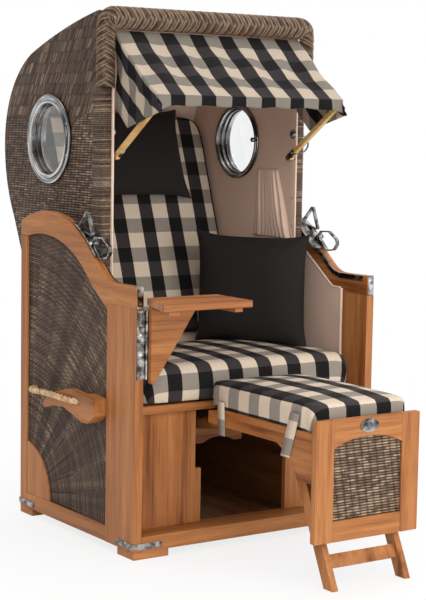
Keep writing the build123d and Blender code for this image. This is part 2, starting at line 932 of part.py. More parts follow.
def side_pocket():
    """Gathered cloth pocket on the right lining."""
    half = pocket_width / 2
    x_wall = skin_inner - soft_gap
    x_front = x_wall - pocket_depth
    levels = [pocket_bottom, pocket_bottom + pocket_height / 2, pocket_bottom + pocket_height]
    sections = []
    for level, swell in zip(levels, pocket_swell_shares):
        outline = make_face([
            Line((x_wall, -half), (x_wall, half)),
            Line((x_wall, half), (x_front, half)),
            ThreePointArc((x_front, half), (x_front - pocket_bulge * swell, 0), (x_front, -half)),
            Line((x_front, -half), (x_wall, -half)),
        ])
        sections.append(Pos(0, pocket_y, level) * outline)
    return loft(sections)


# Latches

def arc_band_face(inner, outer, first, last):
    """Part of a ring about the hood pivot."""
    middle = (first + last) / 2
    return arc_face([
        ThreePointArc(at_angle(outer, first), at_angle(outer, middle), at_angle(outer, last)),
        Line(at_angle(outer, last), at_angle(inner, last)),
        ThreePointArc(at_angle(inner, last), at_angle(inner, middle), at_angle(inner, first)),
        Line(at_angle(inner, first), at_angle(outer, first)),
    ])


def latch_pin_point():
    return at_angle(carrier_radius + carrier_thickness + latch_pin_rise, latch_pin_angle)


def latch_carrier():
    """Bracket on the hood side that rides over the arm, with two ears and the latch pin."""
    outer_x = hood_half + carrier_overhang
    bracket = side_plate(arc_band_face(carrier_radius, carrier_radius + carrier_thickness,
                                       carrier_first_angle,
                                       carrier_last_angle), (hood_half, outer_x))
    y, z = latch_pin_point()
    reach = latch_pin_rise + ear_reach
    ear = Pos(y, z) * Rot(Z=latch_pin_angle - 90) * flat_face([
        (-ear_reach, -latch_pin_rise), (ear_reach, -latch_pin_rise), (ear_reach, reach - latch_pin_rise),
        (-ear_reach, reach - latch_pin_rise)])
    inner_ear_x = outer_x - 2 * ear_width - ear_spacing
    bracket += side_plate(ear, (outer_x - ear_width, outer_x))
    bracket += side_plate(ear, (inner_ear_x, inner_ear_x + ear_width))
    return bracket + x_cylinder(latch_pin_radius, (inner_ear_x, outer_x), y, z)


def latch_handle():
    """D-shaped bow of flat strip with an eye round the latch pin."""
    y, z = latch_pin_point()
    place = Pos(y, z) * Rot(Z=latch_pin_angle - 90)
    points = shared_points(bow_outline_shares, bow_length, bow_height, 0, -bow_drop)
    outer = round_face(points, bow_round)
    ring = outer - offset(outer, amount=-bow_strip)
    profile = ring + Circle(bow_eye) - Circle(latch_pin_radius + pin_gap)
    return side_plate(place * profile, (latch_x - bow_width / 2, latch_x + bow_width / 2))


def pull_loop():
    """Triangular loop of flat strip that stands on the latch carrier, cut to its curve."""
    foot_radius = carrier_radius + carrier_thickness
    foot = at_angle(foot_radius, loop_angle)
    outer = round_face([(-loop_width / 2, 0), (loop_width / 2, 0), (0, loop_height)], loop_round)
    ring = outer - offset(outer, amount=-loop_strip)
    placed = Pos(*foot) * Rot(Z=loop_tilt) * ring
    placed -= Pos(pivot_y, pivot_z) * Circle(foot_radius)
    return side_plate(placed, (latch_x - bow_width / 2, latch_x + bow_width / 2))


# Awning

def awning_pivot():
    """Pin in the hood lining with a spacer and an end cap."""
    inner = arm_stick_x - arm_stick / 2
    outer = arm_stick_x + arm_stick / 2
    pin = x_cylinder(awning_pin_radius, (inner - pin_gap - awning_cap_thickness, skin_inner),
                     awning_pivot_y, awning_pivot_z)
    spacer = x_cylinder(awning_cap_radius, (outer + pin_gap, skin_inner), awning_pivot_y, awning_pivot_z)
    cap = x_cylinder(awning_cap_radius, (inner - pin_gap - awning_cap_thickness, inner - pin_gap),
                     awning_pivot_y, awning_pivot_z)
    return pin + spacer + cap


def awning_arm():
    """Square stick with a round eye at the pivot."""
    span = (arm_stick_x - arm_stick / 2, arm_stick_x + arm_stick / 2)
    length = awning_reach + rod_radius
    stick = Pos(arm_stick_x, -length / 2, 0) * Box(arm_stick, length, arm_stick)
    stick = Pos(0, awning_pivot_y, awning_pivot_z) * Rot(X=-awning_rise) * stick
    eye = x_cylinder(arm_eye, span, awning_pivot_y, awning_pivot_z)
    hole_span = (span[0] - overrun, span[1] + overrun)
    return stick + eye - x_cylinder(awning_pin_radius + pin_gap, hole_span, awning_pivot_y, awning_pivot_z)


def awning_frame():
    inner = arm_stick_x - arm_stick / 2
    return both_sides(awning_arm()) + [x_cylinder(rod_radius, (-inner, inner), rod_y, rod_z)]


def canopy_front_y():
    """Inner face of the hem, just in front of the arm tips."""
    tilt = radians(awning_rise)
    return rod_y - rod_radius * cos(tilt) - arm_stick / 2 * sin(tilt) - soft_gap


def canopy_section(x, sag):
    """Cross-section of the cloth: a slack arc from the braid to the rod, then the hem."""
    top = (canopy_top_y, braid_top - braid_height - canopy_top_drop)
    front_y = canopy_front_y()
    hem_top = rod_z + rod_radius + soft_gap + arm_stick
    middle = ((top[0] + front_y) / 2 + sag, (top[1] + hem_top) / 2 - sag)
    inner_middle = (middle[0] + cloth, middle[1] - cloth)
    hem_low = hem_top - canopy_hem_height
    outline = make_face([
        ThreePointArc(top, middle, (front_y - cloth, hem_top)),
        Line((front_y - cloth, hem_top), (front_y - cloth, hem_low)),
        Line((front_y - cloth, hem_low), (front_y, hem_low)),
        Line((front_y, hem_low), (front_y, hem_top - cloth)),
        ThreePointArc((front_y, hem_top - cloth), inner_middle, (top[0] + cloth, top[1])),
        Line((top[0] + cloth, top[1]), top),
    ])
    return Plane.YZ.offset(x) * outline


def braid_room():
    """The braid with a running gap round it, which the cloth keeps out of."""
    outer = Pos(0, pivot_z) * Rectangle(2 * base_width, 2 * braid_top)
    high = braid_top - braid_height - run_gap
    half = braid_inner - run_gap
    hole = flat_face([(-half, 0), (half, 0), (half, high), (-half, high)])
    hole = fillet(hole.vertices().sort_by(Axis.Y)[-2:], braid_inner_corner)
    return front_plate(outer - hole, (braid_back - braid_depth - run_gap, braid_back))


def awning_canopy():
    """Cloth with slack folds between the braid and the rod, and a gusset at each side."""
    half = skin_inner - run_gap
    stations = 2 * canopy_fold_count
    sections = []
    for index in range(stations + 1):
        sag = canopy_sag + (canopy_fold if index % 2 else -canopy_fold)
        sections.append(canopy_section(-half + 2 * half * index / stations, sag))
    sheet = loft(sections, ruled=True)
    top_z = braid_top - braid_height - canopy_top_drop
    run, fall = canopy_front_y() - cloth - canopy_top_y, rod_z - top_z
    points = shared_points(gusset_outline_shares, run, fall, canopy_top_y, top_z)
    flap = side_plate(flat_face(points), (half - cloth, half))
    return sheet + flap + to_left(flap) - braid_room()


# Side table, drawn on the left where it is

def table_top():
    front = table_back_y - table_depth
    face = flat_face([(-table_left_back, table_back_y), (-table_right, table_back_y),
                      (-table_right, front), (-table_left_front, front)])
    return extrude(Plane.XY.offset(table_top_z - table_thickness) * face, amount=table_thickness,
                   dir=(0, 0, 1))


def table_supports():
    """Two battens under the top, cut to its slanted side, and the triangular bracket board."""
    low = table_top_z - table_thickness
    span_z = (low - table_batten_height, low)
    front = table_back_y - table_depth + table_batten_front_gap
    rear = table_back_y - table_bracket_thickness
    slant = (table_left_front - table_left_back) / table_depth
    left_front = table_left_back + slant * (table_back_y - front) - left_batten_inset
    left_rear = table_left_back + slant * table_bracket_thickness - left_batten_inset
    left_face = flat_face([(-left_front, front), (-left_front + left_batten_width, front),
                           (-left_rear + left_batten_width, rear), (-left_rear, rear)])
    left = extrude(Plane.XY.offset(span_z[0]) * left_face, amount=table_batten_height, dir=(0, 0, 1))
    right_x = -table_right - right_batten_inset
    right = block((right_x - right_batten_width, right_x), (front, rear), span_z)
    leaf_gap = hinge_leaf_thickness / 2
    back = hinge_y - leaf_gap
    start = -hinge_x + hinge_radius + run_gap
    bracket_face = flat_face([(start, low), (start + table_bracket_top_width, low),
                              (start + table_bracket_tip_width, low - table_bracket_height),
                              (start, low - table_bracket_height)])
    bracket = front_plate(bracket_face, (back - table_bracket_thickness, back))
    return [left - bracket, right - bracket, bracket]


def hinge_knuckle(index, clearance):
    height = hinge_height / hinge_knuckles
    low = hinge_bottom + index * height
    return Pos(-hinge_x, hinge_y, low + height / 2) * Cylinder(hinge_radius, height - clearance)


def knuckle_bridge(index):
    """Metal that joins a fixed knuckle to its leaf."""
    height = hinge_height / hinge_knuckles
    low = hinge_bottom + index * height + run_gap / 2
    return block((-hinge_x - hinge_radius, -hinge_x), (hinge_y, y_front), (low, low + height - run_gap))


def hinge_bore():
    middle = hinge_bottom + hinge_height / 2
    return Pos(-hinge_x, hinge_y, middle) * Cylinder(hinge_pin_radius + pin_gap, hinge_height + 2 * overrun)


def leaf_clearance(index):
    """Room that a leaf leaves round one knuckle of the other leaf."""
    height = hinge_height / hinge_knuckles
    low = hinge_bottom + index * height
    return Pos(-hinge_x, hinge_y, low + height / 2) * Cylinder(hinge_radius + run_gap, height)


def table_post_leaf():
    """Fixed leaf on the front of the left post, with its knuckles and the hinge pin."""
    leaf = block((-hinge_x - hinge_leaf_width, -hinge_x), (y_front - hinge_leaf_thickness, y_front),
                 (hinge_bottom, hinge_bottom + hinge_height))
    for index in range(hinge_knuckles):
        if index % 2 == 0:
            leaf += hinge_knuckle(index, run_gap) + knuckle_bridge(index)
        else:
            leaf -= leaf_clearance(index)
    pin = Pos(-hinge_x, hinge_y, hinge_bottom + hinge_height / 2) * Cylinder(hinge_pin_radius, hinge_height)
    return leaf + pin


def table_hinge_leaf():
    """Moving leaf behind the bracket board."""
    leaf = block((-hinge_x, -hinge_x + hinge_leaf_width),
                 (hinge_y - hinge_leaf_thickness / 2, hinge_y + hinge_leaf_thickness / 2),
                 (hinge_bottom, hinge_bottom + hinge_height))
    for index in range(hinge_knuckles):
        if index % 2:
            leaf += hinge_knuckle(index, run_gap)
        else:
            leaf -= leaf_clearance(index)
    return leaf - hinge_bore()


# Footrest

def footrest_stile_piece():
    return block((footrest_half - footrest_stile, footrest_half), (-footrest_front, footrest_back_y),
                 (footrest_bottom, footrest_top))


def footrest_rails():
    """Arched top rail and plain bottom rail between the stiles."""
    inner = footrest_half - footrest_stile
    top_face = make_face([
        Line((-inner, arch_spring), (-inner, footrest_top)),
        Line((-inner, footrest_top), (inner, footrest_top)),
        Line((inner, footrest_top), (inner, arch_spring)),
        ThreePointArc((inner, arch_spring), (0, arch_peak), (-inner, arch_spring)),
    ])
    top = front_plate(top_face, (-footrest_front, footrest_back_y))
    bottom = block((-inner, inner), (-footrest_front, footrest_back_y),
                   (footrest_bottom, footrest_bottom + footrest_bottom_rail))
    return [top, bottom]


def footrest_inlay():
    inner = footrest_half - footrest_stile
    middle = -footrest_front + front_thickness / 2
    field = block((-inner, inner), (middle - inlay_thickness / 2, middle + inlay_thickness / 2),
                  (footrest_bottom + footrest_bottom_rail, arch_peak))
    return field - footrest_rails()[0]


def name_plate():
    face = Pos(0, plate_z) * Ellipse(plate_length / 2, plate_height / 2)
    return front_plate(face, (-footrest_front - plate_thickness, -footrest_front))


def footrest_apron():
    """Side board of the footrest, with its curved wing behind the front."""
    wing_corner = (footrest_back_y + wing_front_length, wing_bottom)
    wing_end = (wing_corner[0] + wing_run, apron_bottom)
    wing_mid = (wing_corner[0] + wing_run * wing_mid_run_share,
                wing_bottom + (apron_bottom - wing_bottom) * wing_mid_rise_share)
    face = make_face([
        Line((footrest_back_y, wing_bottom), wing_corner),
        ThreePointArc(wing_corner, wing_mid, wing_end),
        Line(wing_end, (-apron_rear, apron_bottom)),
        Line((-apron_rear, apron_bottom), (-apron_rear, apron_top - apron_taper_drop)),
        Line((-apron_rear, apron_top - apron_taper_drop), (-apron_rear - apron_taper_length, apron_top)),
        Line((-apron_rear - apron_taper_length, apron_top), (footrest_back_y, apron_top)),
        Line((footrest_back_y, apron_top), (footrest_back_y, wing_bottom)),
    ])
    return side_plate(face, (apron_half - apron_thickness, apron_half))


def slat_level():
    """Top of the footrest slats, flush with the lowered rear end of the aprons."""
    return apron_top - apron_taper_drop


def footrest_deck():
    """Slats between the aprons."""
    inner = apron_half - apron_thickness
    top = slat_level()
    length = -apron_rear - footrest_back_y
    pitch = (length + foot_slat_gap) / foot_slat_count
    pieces = []
    for index in range(foot_slat_count):
        start = footrest_back_y + index * pitch
        pieces.append(block((-inner, inner), (start, start + pitch - foot_slat_gap),
                            (top - foot_slat_thickness, top)))
    return pieces


def footrest_tail():
    """Two bars under the deck that carry the rear board with its arched lower edge."""
    under = slat_level() - foot_slat_thickness
    board_front = -tail_rear - tail_board_thickness
    band_bottom = tail_board_top - tail_band_height
    bar_face = flat_face([
        (-tail_bar_front, under), (-tail_bar_shoulder, under), (board_front, tail_board_top),
        (board_front, band_bottom), (-tail_bar_front, under - tail_band_height),
    ])
    bar = side_plate(bar_face, (tail_bar_outer - tail_bar_thickness, tail_bar_outer))
    band_half = wall_inner_x - tail_band_gap
    band = block((-band_half, band_half), (board_front, -tail_rear), (band_bottom, tail_board_top))
    arch_face = make_face([
        Line((-tail_board_half, tail_board_bottom), (-tail_board_half, band_bottom)),
        Line((-tail_board_half, band_bottom), (tail_board_half, band_bottom)),
        Line((tail_board_half, band_bottom), (tail_board_half, tail_board_bottom)),
        Line((tail_board_half, tail_board_bottom), (tail_arch_half, tail_board_bottom)),
        ThreePointArc((tail_arch_half, tail_board_bottom), (0, tail_board_bottom + tail_arch_rise),
                      (-tail_arch_half, tail_board_bottom)),
        Line((-tail_arch_half, tail_board_bottom), (-tail_board_half, tail_board_bottom)),
    ])
    return bar + to_left(bar) + band + front_plate(arch_face, (board_front, -tail_rear))


def footrest_cushion():
    """Pad on the deck with two tie straps down the left side."""
    length = foot_cushion_front - foot_cushion_rear
    width = 2 * footrest_half
    body = cushion(width - 2 * cushion_bulge, length, foot_cushion_edge, foot_cushion_crown,
                   cushion_under_crown,
                   cushion_draw_in, cushion_bulge)
    base = apron_top + soft_gap + foot_cushion_edge / 2 + cushion_under_crown
    body = Pos(0, -(foot_cushion_front + foot_cushion_rear) / 2, base) * body
    outer = -apron_half - soft_gap
    pad_edge = -footrest_half + cushion_bulge
    for strap_y in (rear_strap_y, front_strap_y):
        body += block((min(outer - strap_cloth, pad_edge), outer),
                      (-strap_y - strap_cloth_width / 2, -strap_y + strap_cloth_width / 2),
                      (strap_bottom, base))
    return body


# Folding leg

def leg_place(piece):
    """Place a piece drawn along -Z from the leg pivot at the open angle."""
    return Pos(0, leg_pivot_y, leg_pivot_z) * Rot(X=-leg_tilt) * piece


def leg_frame():
    """Two bars that stand on the ground, and the crossbar between them."""
    reach = leg_pivot_z / cos(radians(leg_tilt)) + leg_width
    bar = Pos(leg_half - leg_thickness / 2, 0, -reach / 2) * Box(leg_thickness, leg_width, reach)
    bar += x_cylinder(leg_width / 2, (leg_half - leg_thickness, leg_half), 0, 0)
    bar -= x_cylinder(leg_pin_radius + pin_gap, (leg_half - leg_thickness - overrun, leg_half + overrun),
                      0, 0)
    ground = block((-base_width, base_width), (2 * -footrest_front, 0), (-footrest_front, 0))
    placed = leg_place(bar) - ground
    inner = leg_half - leg_thickness
    along = (leg_pivot_z - crossbar_centre) / cos(radians(leg_tilt))
    crossbar = leg_place(Pos(0, 0, -along) * Box(2 * inner, crossbar_thickness, crossbar_width))
    return both_sides(placed) + [crossbar]


def leg_pin():
    """Pin from the leg bar into the apron."""
    apron_inner = apron_half - apron_thickness
    head = x_cylinder(leg_pin_radius, (leg_half - leg_thickness, apron_inner), leg_pivot_y, leg_pivot_z)
    return head + x_cylinder(leg_pin_radius * 2, (leg_half + pin_gap, apron_inner), leg_pivot_y,
                             leg_pivot_z)


def model():
    """All named pieces of the chair, each a list of solids."""
    nodes = {}

    def pair(name, shape):
        nodes["right_" + name] = [shape]
        nodes["left_" + name] = [to_left(shape)]

    pair("arm_rail", arm_rail())
    pair("front_post", front_post())
    pair("side_panel", side_panel())
    nodes["rear_stiles"] = both_sides(rear_stile())
    nodes["side_bottom_rails"] = both_sides(side_bottom_rail())
    nodes["corner_gussets"] = both_sides(corner_gusset())
    nodes["lining_boards"] = both_sides(lining_board())
    nodes["cross_rails"] = cross_rails()
    nodes["front_panels"] = both_sides(front_panel())
    nodes["seat_front_rail"] = seat_front_rail()
    nodes["seat_deck"] = seat_deck()
    nodes["floor_boards"] = floor_boards()
    nodes["base_back_panel"] = [base_back_panel()]
    nodes["footrest_runners"] = both_sides(footrest_runner())
    nodes["foot_blocks"] = foot_blocks()
    nodes["corner_brackets"] = corner_brackets()
    nodes["post_straps"] = both_sides(post_strap())
    nodes["latch_rails"] = both_sides(latch_rail())
    nodes["hood_pivot_bolts"] = both_sides(pivot_bolt())
    nodes["handle_grips"] = both_sides(grip())
    nodes["handle_ropes"] = both_sides(handle_rope())
    nodes["table_post_leaf"] = [table_post_leaf()]
    seat = seat_cushion()
    nodes["seat_cushion"] = [seat]
    nodes["throw_pillow"] = [throw_pillow(seat)]

    pair("hood_wall", hood_side())
    nodes["hood_shell"] = [hood_roof_back()]
    nodes["braid_roll"] = [braid_roll()]
    nodes["edge_wraps"] = both_sides(edge_wrap())
    nodes["hood_linings"] = both_sides(hood_skin())
    nodes["porthole_flanges"] = both_sides(porthole_flange())
    nodes["porthole_rings"] = both_sides(porthole_ring())
    nodes["porthole_glasses"] = both_sides(porthole_glass())
    nodes["backrest_board"] = [backrest_board()]
    back = backrest_cushion()
    nodes["backrest_cushion"] = [back]
    nodes["headrest_pillow"] = [headrest_pillow(back)]
    nodes["side_pocket"] = [side_pocket()]
    nodes["latch_carriers"] = both_sides(latch_carrier())
    nodes["pull_loops"] = both_sides(pull_loop())
    nodes["awning_pivots"] = both_sides(awning_pivot())
    pair("latch_handle", latch_handle())
    nodes["awning_frame"] = awning_frame()
    nodes["awning_canopy"] = [awning_canopy()]

    nodes["table_top"] = [table_top()]
    nodes["table_supports"] = table_supports()
    nodes["table_hinge_leaf"] = [table_hinge_leaf()]

    nodes["footrest_stiles"] = both_sides(footrest_stile_piece())
    nodes["footrest_rails"] = footrest_rails()
    nodes["footrest_inlay"] = [footrest_inlay()]
    nodes["name_plate"] = [name_plate()]
    nodes["footrest_aprons"] = both_sides(footrest_apron())
    nodes["footrest_deck"] = footrest_deck()
    nodes["footrest_tail"] = [footrest_tail()]
    nodes["footrest_cushion"] = [footrest_cushion()]
    nodes["leg_frame"] = leg_frame()
    nodes["leg_pins"] = both_sides(leg_pin())
    return nodes


def main():
    os.makedirs("parts", exist_ok=True)
    for name, shapes in model().items():
        solids = [Pos(0, base_set_back, 0) * solid for shape in shapes for solid in shape.solids()]
        export_step(Compound(solids), "parts/" + name + ".step")


main()
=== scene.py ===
import math
import bpy
from mathutils import Matrix, Vector, noise


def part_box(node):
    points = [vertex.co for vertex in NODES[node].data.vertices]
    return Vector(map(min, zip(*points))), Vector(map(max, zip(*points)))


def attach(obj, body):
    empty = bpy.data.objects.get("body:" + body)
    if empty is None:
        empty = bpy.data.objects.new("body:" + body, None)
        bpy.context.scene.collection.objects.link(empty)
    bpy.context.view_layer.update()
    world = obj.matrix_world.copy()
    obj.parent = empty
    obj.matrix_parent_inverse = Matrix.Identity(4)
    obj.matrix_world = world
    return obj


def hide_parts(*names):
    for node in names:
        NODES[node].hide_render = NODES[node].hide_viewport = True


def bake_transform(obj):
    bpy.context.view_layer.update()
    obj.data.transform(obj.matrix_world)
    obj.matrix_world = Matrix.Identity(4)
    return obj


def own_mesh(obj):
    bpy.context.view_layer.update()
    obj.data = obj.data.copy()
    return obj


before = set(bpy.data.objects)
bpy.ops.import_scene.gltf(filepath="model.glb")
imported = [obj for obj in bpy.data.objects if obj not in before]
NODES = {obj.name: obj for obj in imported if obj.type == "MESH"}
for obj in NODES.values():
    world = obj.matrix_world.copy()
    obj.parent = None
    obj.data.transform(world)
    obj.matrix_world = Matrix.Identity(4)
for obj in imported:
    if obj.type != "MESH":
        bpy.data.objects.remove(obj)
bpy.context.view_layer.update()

# All places below are drawn about the centre of the chair's base, in metres.
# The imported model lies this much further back.
SET_BACK = 0.157
SIDES = (-1, 1)
PORTHOLE_Y, PORTHOLE_Z = 0.270, 1.200


# Materials

class Signal:
    """Output of a shader node. Arithmetic on it adds math nodes."""

    def __init__(self, graph, socket):
        self.graph = graph
        self.socket = socket

    def __add__(self, other):
        return self.graph.math("ADD", self, other)

    def __sub__(self, other):
        return self.graph.math("SUBTRACT", self, other)

    def __rsub__(self, other):
        return self.graph.math("SUBTRACT", other, self)

    def __mul__(self, other):
        return self.graph.math("MULTIPLY", self, other)

    def __truediv__(self, other):
        return self.graph.math("DIVIDE", self, other)

    def __pow__(self, other):
        return self.graph.math("POWER", self, other)

    def __abs__(self):
        return self.graph.math("ABSOLUTE", self)


class Graph:
    """One material, built from math and texture nodes."""

    def __init__(self, name, roughness, metallic=0.0, gloss=None):
        self.material = bpy.data.materials.new(name)
        self.material.use_nodes = True
        self.tree = self.material.node_tree
        self.shader = self.tree.nodes["Principled BSDF"]
        self.shader.inputs["Roughness"].default_value = roughness
        self.shader.inputs["Metallic"].default_value = metallic
        if gloss is not None:
            self.shader.inputs["Specular IOR Level"].default_value = gloss

    def node(self, kind, values=(), **settings):
        made = self.tree.nodes.new(kind)
        for key, value in settings.items():
            setattr(made, key, value)
        for socket, value in zip(made.inputs, values):
            self.feed(socket, value)
        return made

    def feed(self, socket, value):
        if isinstance(value, Signal):
            self.tree.links.new(value.socket, socket)
        else:
            socket.default_value = value

    def output(self, node, which=0):
        return Signal(self, node.outputs[which])

    def math(self, operation, *values):
        return self.output(self.node("ShaderNodeMath", values, operation=operation))

    def floor(self, a):
        return self.math("FLOOR", a)

    def fract(self, a):
        return self.math("FRACT", a)

    def step(self, a, edge):
        return self.math("GREATER_THAN", a, edge)

    def distance(self, a, b):
        return self.math("SQRT", a * a + b * b)

    def spread(self, a, low, high, to_low=0.0, to_high=1.0):
        return self.output(self.node("ShaderNodeMapRange", (a, low, high, to_low, to_high)))

    def combine(self, x, y, z):
        return self.output(self.node("ShaderNodeCombineXYZ", (x, y, z)))

    def coordinates(self, kind):
        spot = self.output(self.node("ShaderNodeTexCoord"), kind)
        parts = self.node("ShaderNodeSeparateXYZ", (spot,))
        return [self.output(parts, index) for index in range(3)]

    def place(self):
        """Place on the object: X, Y counted from the centre of the base, and Z."""
        x, y, z = self.coordinates("Object")
        return x, y - SET_BACK, z

    def cut(self):
        """Place on the cloth or weave, in metres."""
        return self.coordinates("UV")[:2]

    def noise(self, spot, scale=1.0, detail=2.0):
        made = self.node("ShaderNodeTexNoise")
        self.feed(made.inputs["Vector"], spot)
        made.inputs["Scale"].default_value = scale
        made.inputs["Detail"].default_value = detail
        return self.output(made, "Fac")

    def chance(self, spot):
        made = self.node("ShaderNodeTexWhiteNoise", noise_dimensions="3D")
        self.feed(made.inputs["Vector"], spot)
        return self.output(made, "Value")

    def ramp(self, factor, stops):
        made = self.node("ShaderNodeValToRGB", (factor,))
        elements = made.color_ramp.elements
        while len(elements) < len(stops):
            elements.new(0.5)
        for element, (at, colour) in zip(elements, stops):
            element.position = at
            element.color = (*colour, 1.0)
        return self.output(made, "Color")

    def mix(self, factor, a, b, blend="MIX"):
        made = self.node("ShaderNodeMix", data_type="RGBA", blend_type=blend)
        for socket, value in ((made.inputs[0], factor), (made.inputs[6], a), (made.inputs[7], b)):
            self.feed(socket, (*value, 1.0) if isinstance(value, tuple) else value)
        return self.output(made, 2)

    def shade(self, colour, amount):
        """Colour times a grey amount."""
        return self.mix(1.0, colour, self.combine(amount, amount, amount), "MULTIPLY")

    def bump(self, height, distance, strength=1.0):
        made = self.node("ShaderNodeBump")
        made.inputs["Strength"].default_value = strength
        made.inputs["Distance"].default_value = distance
        self.feed(made.inputs["Height"], height)
        self.feed(self.shader.inputs["Normal"], self.output(made, "Normal"))

    def done(self, colour, roughness=None):
        self.feed(self.shader.inputs["Base Color"], colour)
        if roughness is not None:
            self.feed(self.shader.inputs["Roughness"], roughness)
        return self.material


TEAK_TONES = ((0.165, 0.048, 0.013), (0.335, 0.118, 0.032), (0.470, 0.192, 0.060))
STICK_TONES = ((0.45, 0.24, 0.07), (0.60, 0.36, 0.12), (0.70, 0.47, 0.20))


def teak(name, grain, lightness=1.0, tones=TEAK_TONES):
    """Oiled wood with its grain along one axis."""
    graph = Graph(name, 0.45, gloss=0.28)
    spots = graph.place()

    def stretched(across, along):
        rates = [across] * 3
        rates[grain] = along
        return graph.combine(*(spot * rate for spot, rate in zip(spots, rates)))

    figure = graph.noise(stretched(19.0, 1.5), detail=4.0)
    streak = graph.noise(stretched(70.0, 2.4), detail=3.0)
    pores = graph.noise(stretched(420.0, 9.0), detail=2.0)
    colour = graph.ramp(figure * 0.62 + streak * 0.38, list(zip((0.35, 0.46, 0.64), tones)))
    depth = graph.spread(pores, 0.36, 0.50, 0.74, 1.0)
    graph.bump(pores + streak * 0.6, 0.0006, 0.55)
    return graph.done(graph.shade(colour, depth * lightness), graph.spread(streak, 0.35, 0.65, 0.38, 0.56))


WICKER_STOPS = [(0.0, (0.028, 0.0145, 0.0080)), (0.30, (0.066, 0.036, 0.0210)),
                (0.62, (0.132, 0.083, 0.052)), (1.0, (0.345, 0.250, 0.168))]
WICKER_ROUGHNESS, WICKER_GLOSS = 0.58, 0.25
WICKER_RELIEF = 0.0045
HOOD_STRAND, HOOD_RIB = 0.0077, 0.0230
FIELD_STRAND, FIELD_RIB = 0.0078, 0.0255
SLANTED_ROW, SLANTED_PITCH = 0.033, 0.0078
HOOD_BACK_EDGE = 1.27


def over_under(graph, across, up, rib, strand, shift):
    """Height of strands that pass over and under ribs, and the row number."""
    place = up / strand
    row = graph.floor(place)
    off = graph.fract(place) * 2.0 - 1.0
    profile = 1.0 - off * off
    turn = (across / rib + row * shift) * math.pi
    swing = abs(graph.math("COSINE", turn)) ** 0.6
    return profile * (swing * 0.72 + 0.28), row


def slanted(graph, across, up):
    """Height of the slanted strands of the upper hood, and the tone of each bundle."""
    drift = graph.noise(graph.combine(across * 14.0, up * 5.0, 2.0), 1.0, 2.0) * 0.030
    place = (up + drift) / SLANTED_ROW
    row = graph.floor(place)
    inside = graph.fract(place) * 2.0 - 1.0
    at = (across + up * 0.62 + drift) / SLANTED_PITCH + row * 2.37
    off = graph.fract(at) * 2.0 - 1.0
    edge = 1.0 - abs(inside) ** 4.0 * 0.38
    bundle = graph.floor((at + row * 1.7) / 5.0)
    single = graph.chance(graph.combine(graph.floor(at), row, 6.0))
    tone = graph.chance(graph.combine(bundle, row, 3.0)) * 0.26 + single * 0.74
    return (1.0 - off * off) * edge, tone


def hood_edge_line(graph, y):
    """Height at which the slanted weave of a hood side begins."""
    front = graph.spread(y, 0.026, 0.158, 1.285, 1.238)
    return front + graph.spread(y, 0.158, 0.443, 0.0, 0.027)


def strand_tone(graph, across, row, length, seed):
    """Tone of a stretch of strand, taken at random."""
    return graph.chance(graph.combine(graph.floor(across / length + row * 0.37), row, seed))


def woven(graph, height, tone, light=None):
    """Wicker colour from the tone of its strands, with painted shade in the gaps and painted highlights on
    the strand tops, both taken from the strand height, which also gives the bump.
    """
    # Default light factor: painted shade where the strands are low and painted highlight on their tops.
    if light is None:
        light = graph.spread(height, 0.08, 0.92, 0.05, 1.55)
    graph.bump(height, WICKER_RELIEF)
    return graph.done(graph.shade(graph.ramp(tone, WICKER_STOPS), light))


def hood_weave(name, use_cut):
    """Wicker of the hood: plain weave below, slanted bundles above."""
    graph = Graph(name, WICKER_ROUGHNESS, gloss=WICKER_GLOSS)
    x, y, z = graph.place()
    across, up = graph.cut() if use_cut else (y, z)
    height, row = over_under(graph, across, up, HOOD_RIB, HOOD_STRAND, 0.06)
    tone = strand_tone(graph, across, row, HOOD_RIB, 1.0) * 0.55 + 0.30
    upper_height, upper_tone = slanted(graph, across, up)
    upper = graph.step(z, HOOD_BACK_EDGE if use_cut else hood_edge_line(graph, y))
    height = height * (1.0 - upper) + upper_height * upper
    tone = tone * (1.0 - upper) + upper_tone * upper
    patch = graph.noise(graph.combine(x * 3.0, y * 3.0, z * 6.0), 1.0, 3.0)
    return woven(graph, height, tone * 0.90 + graph.spread(patch, 0.35, 0.68, -0.10, 0.16))


def plain_weave(name, horizontal):
    """Plain wicker field in a vertical panel."""
    graph = Graph(name, WICKER_ROUGHNESS, gloss=WICKER_GLOSS)
    spots = graph.place()
    height, row = over_under(graph, spots[horizontal], spots[2], FIELD_RIB, FIELD_STRAND, 0.05)
    return woven(graph, height, strand_tone(graph, spots[horizontal], row, FIELD_RIB, 5.0) * 0.45 + 0.45)


SUN_Y, SUN_Z = 0.330, 0.070
SUN_STRAND = 0.0072
SUN_RIB_NEAR, SUN_RIB_FAR = 5.0, 2.3
SUN_SPLIT = 0.335
GROOVE_EVERY = 10.0


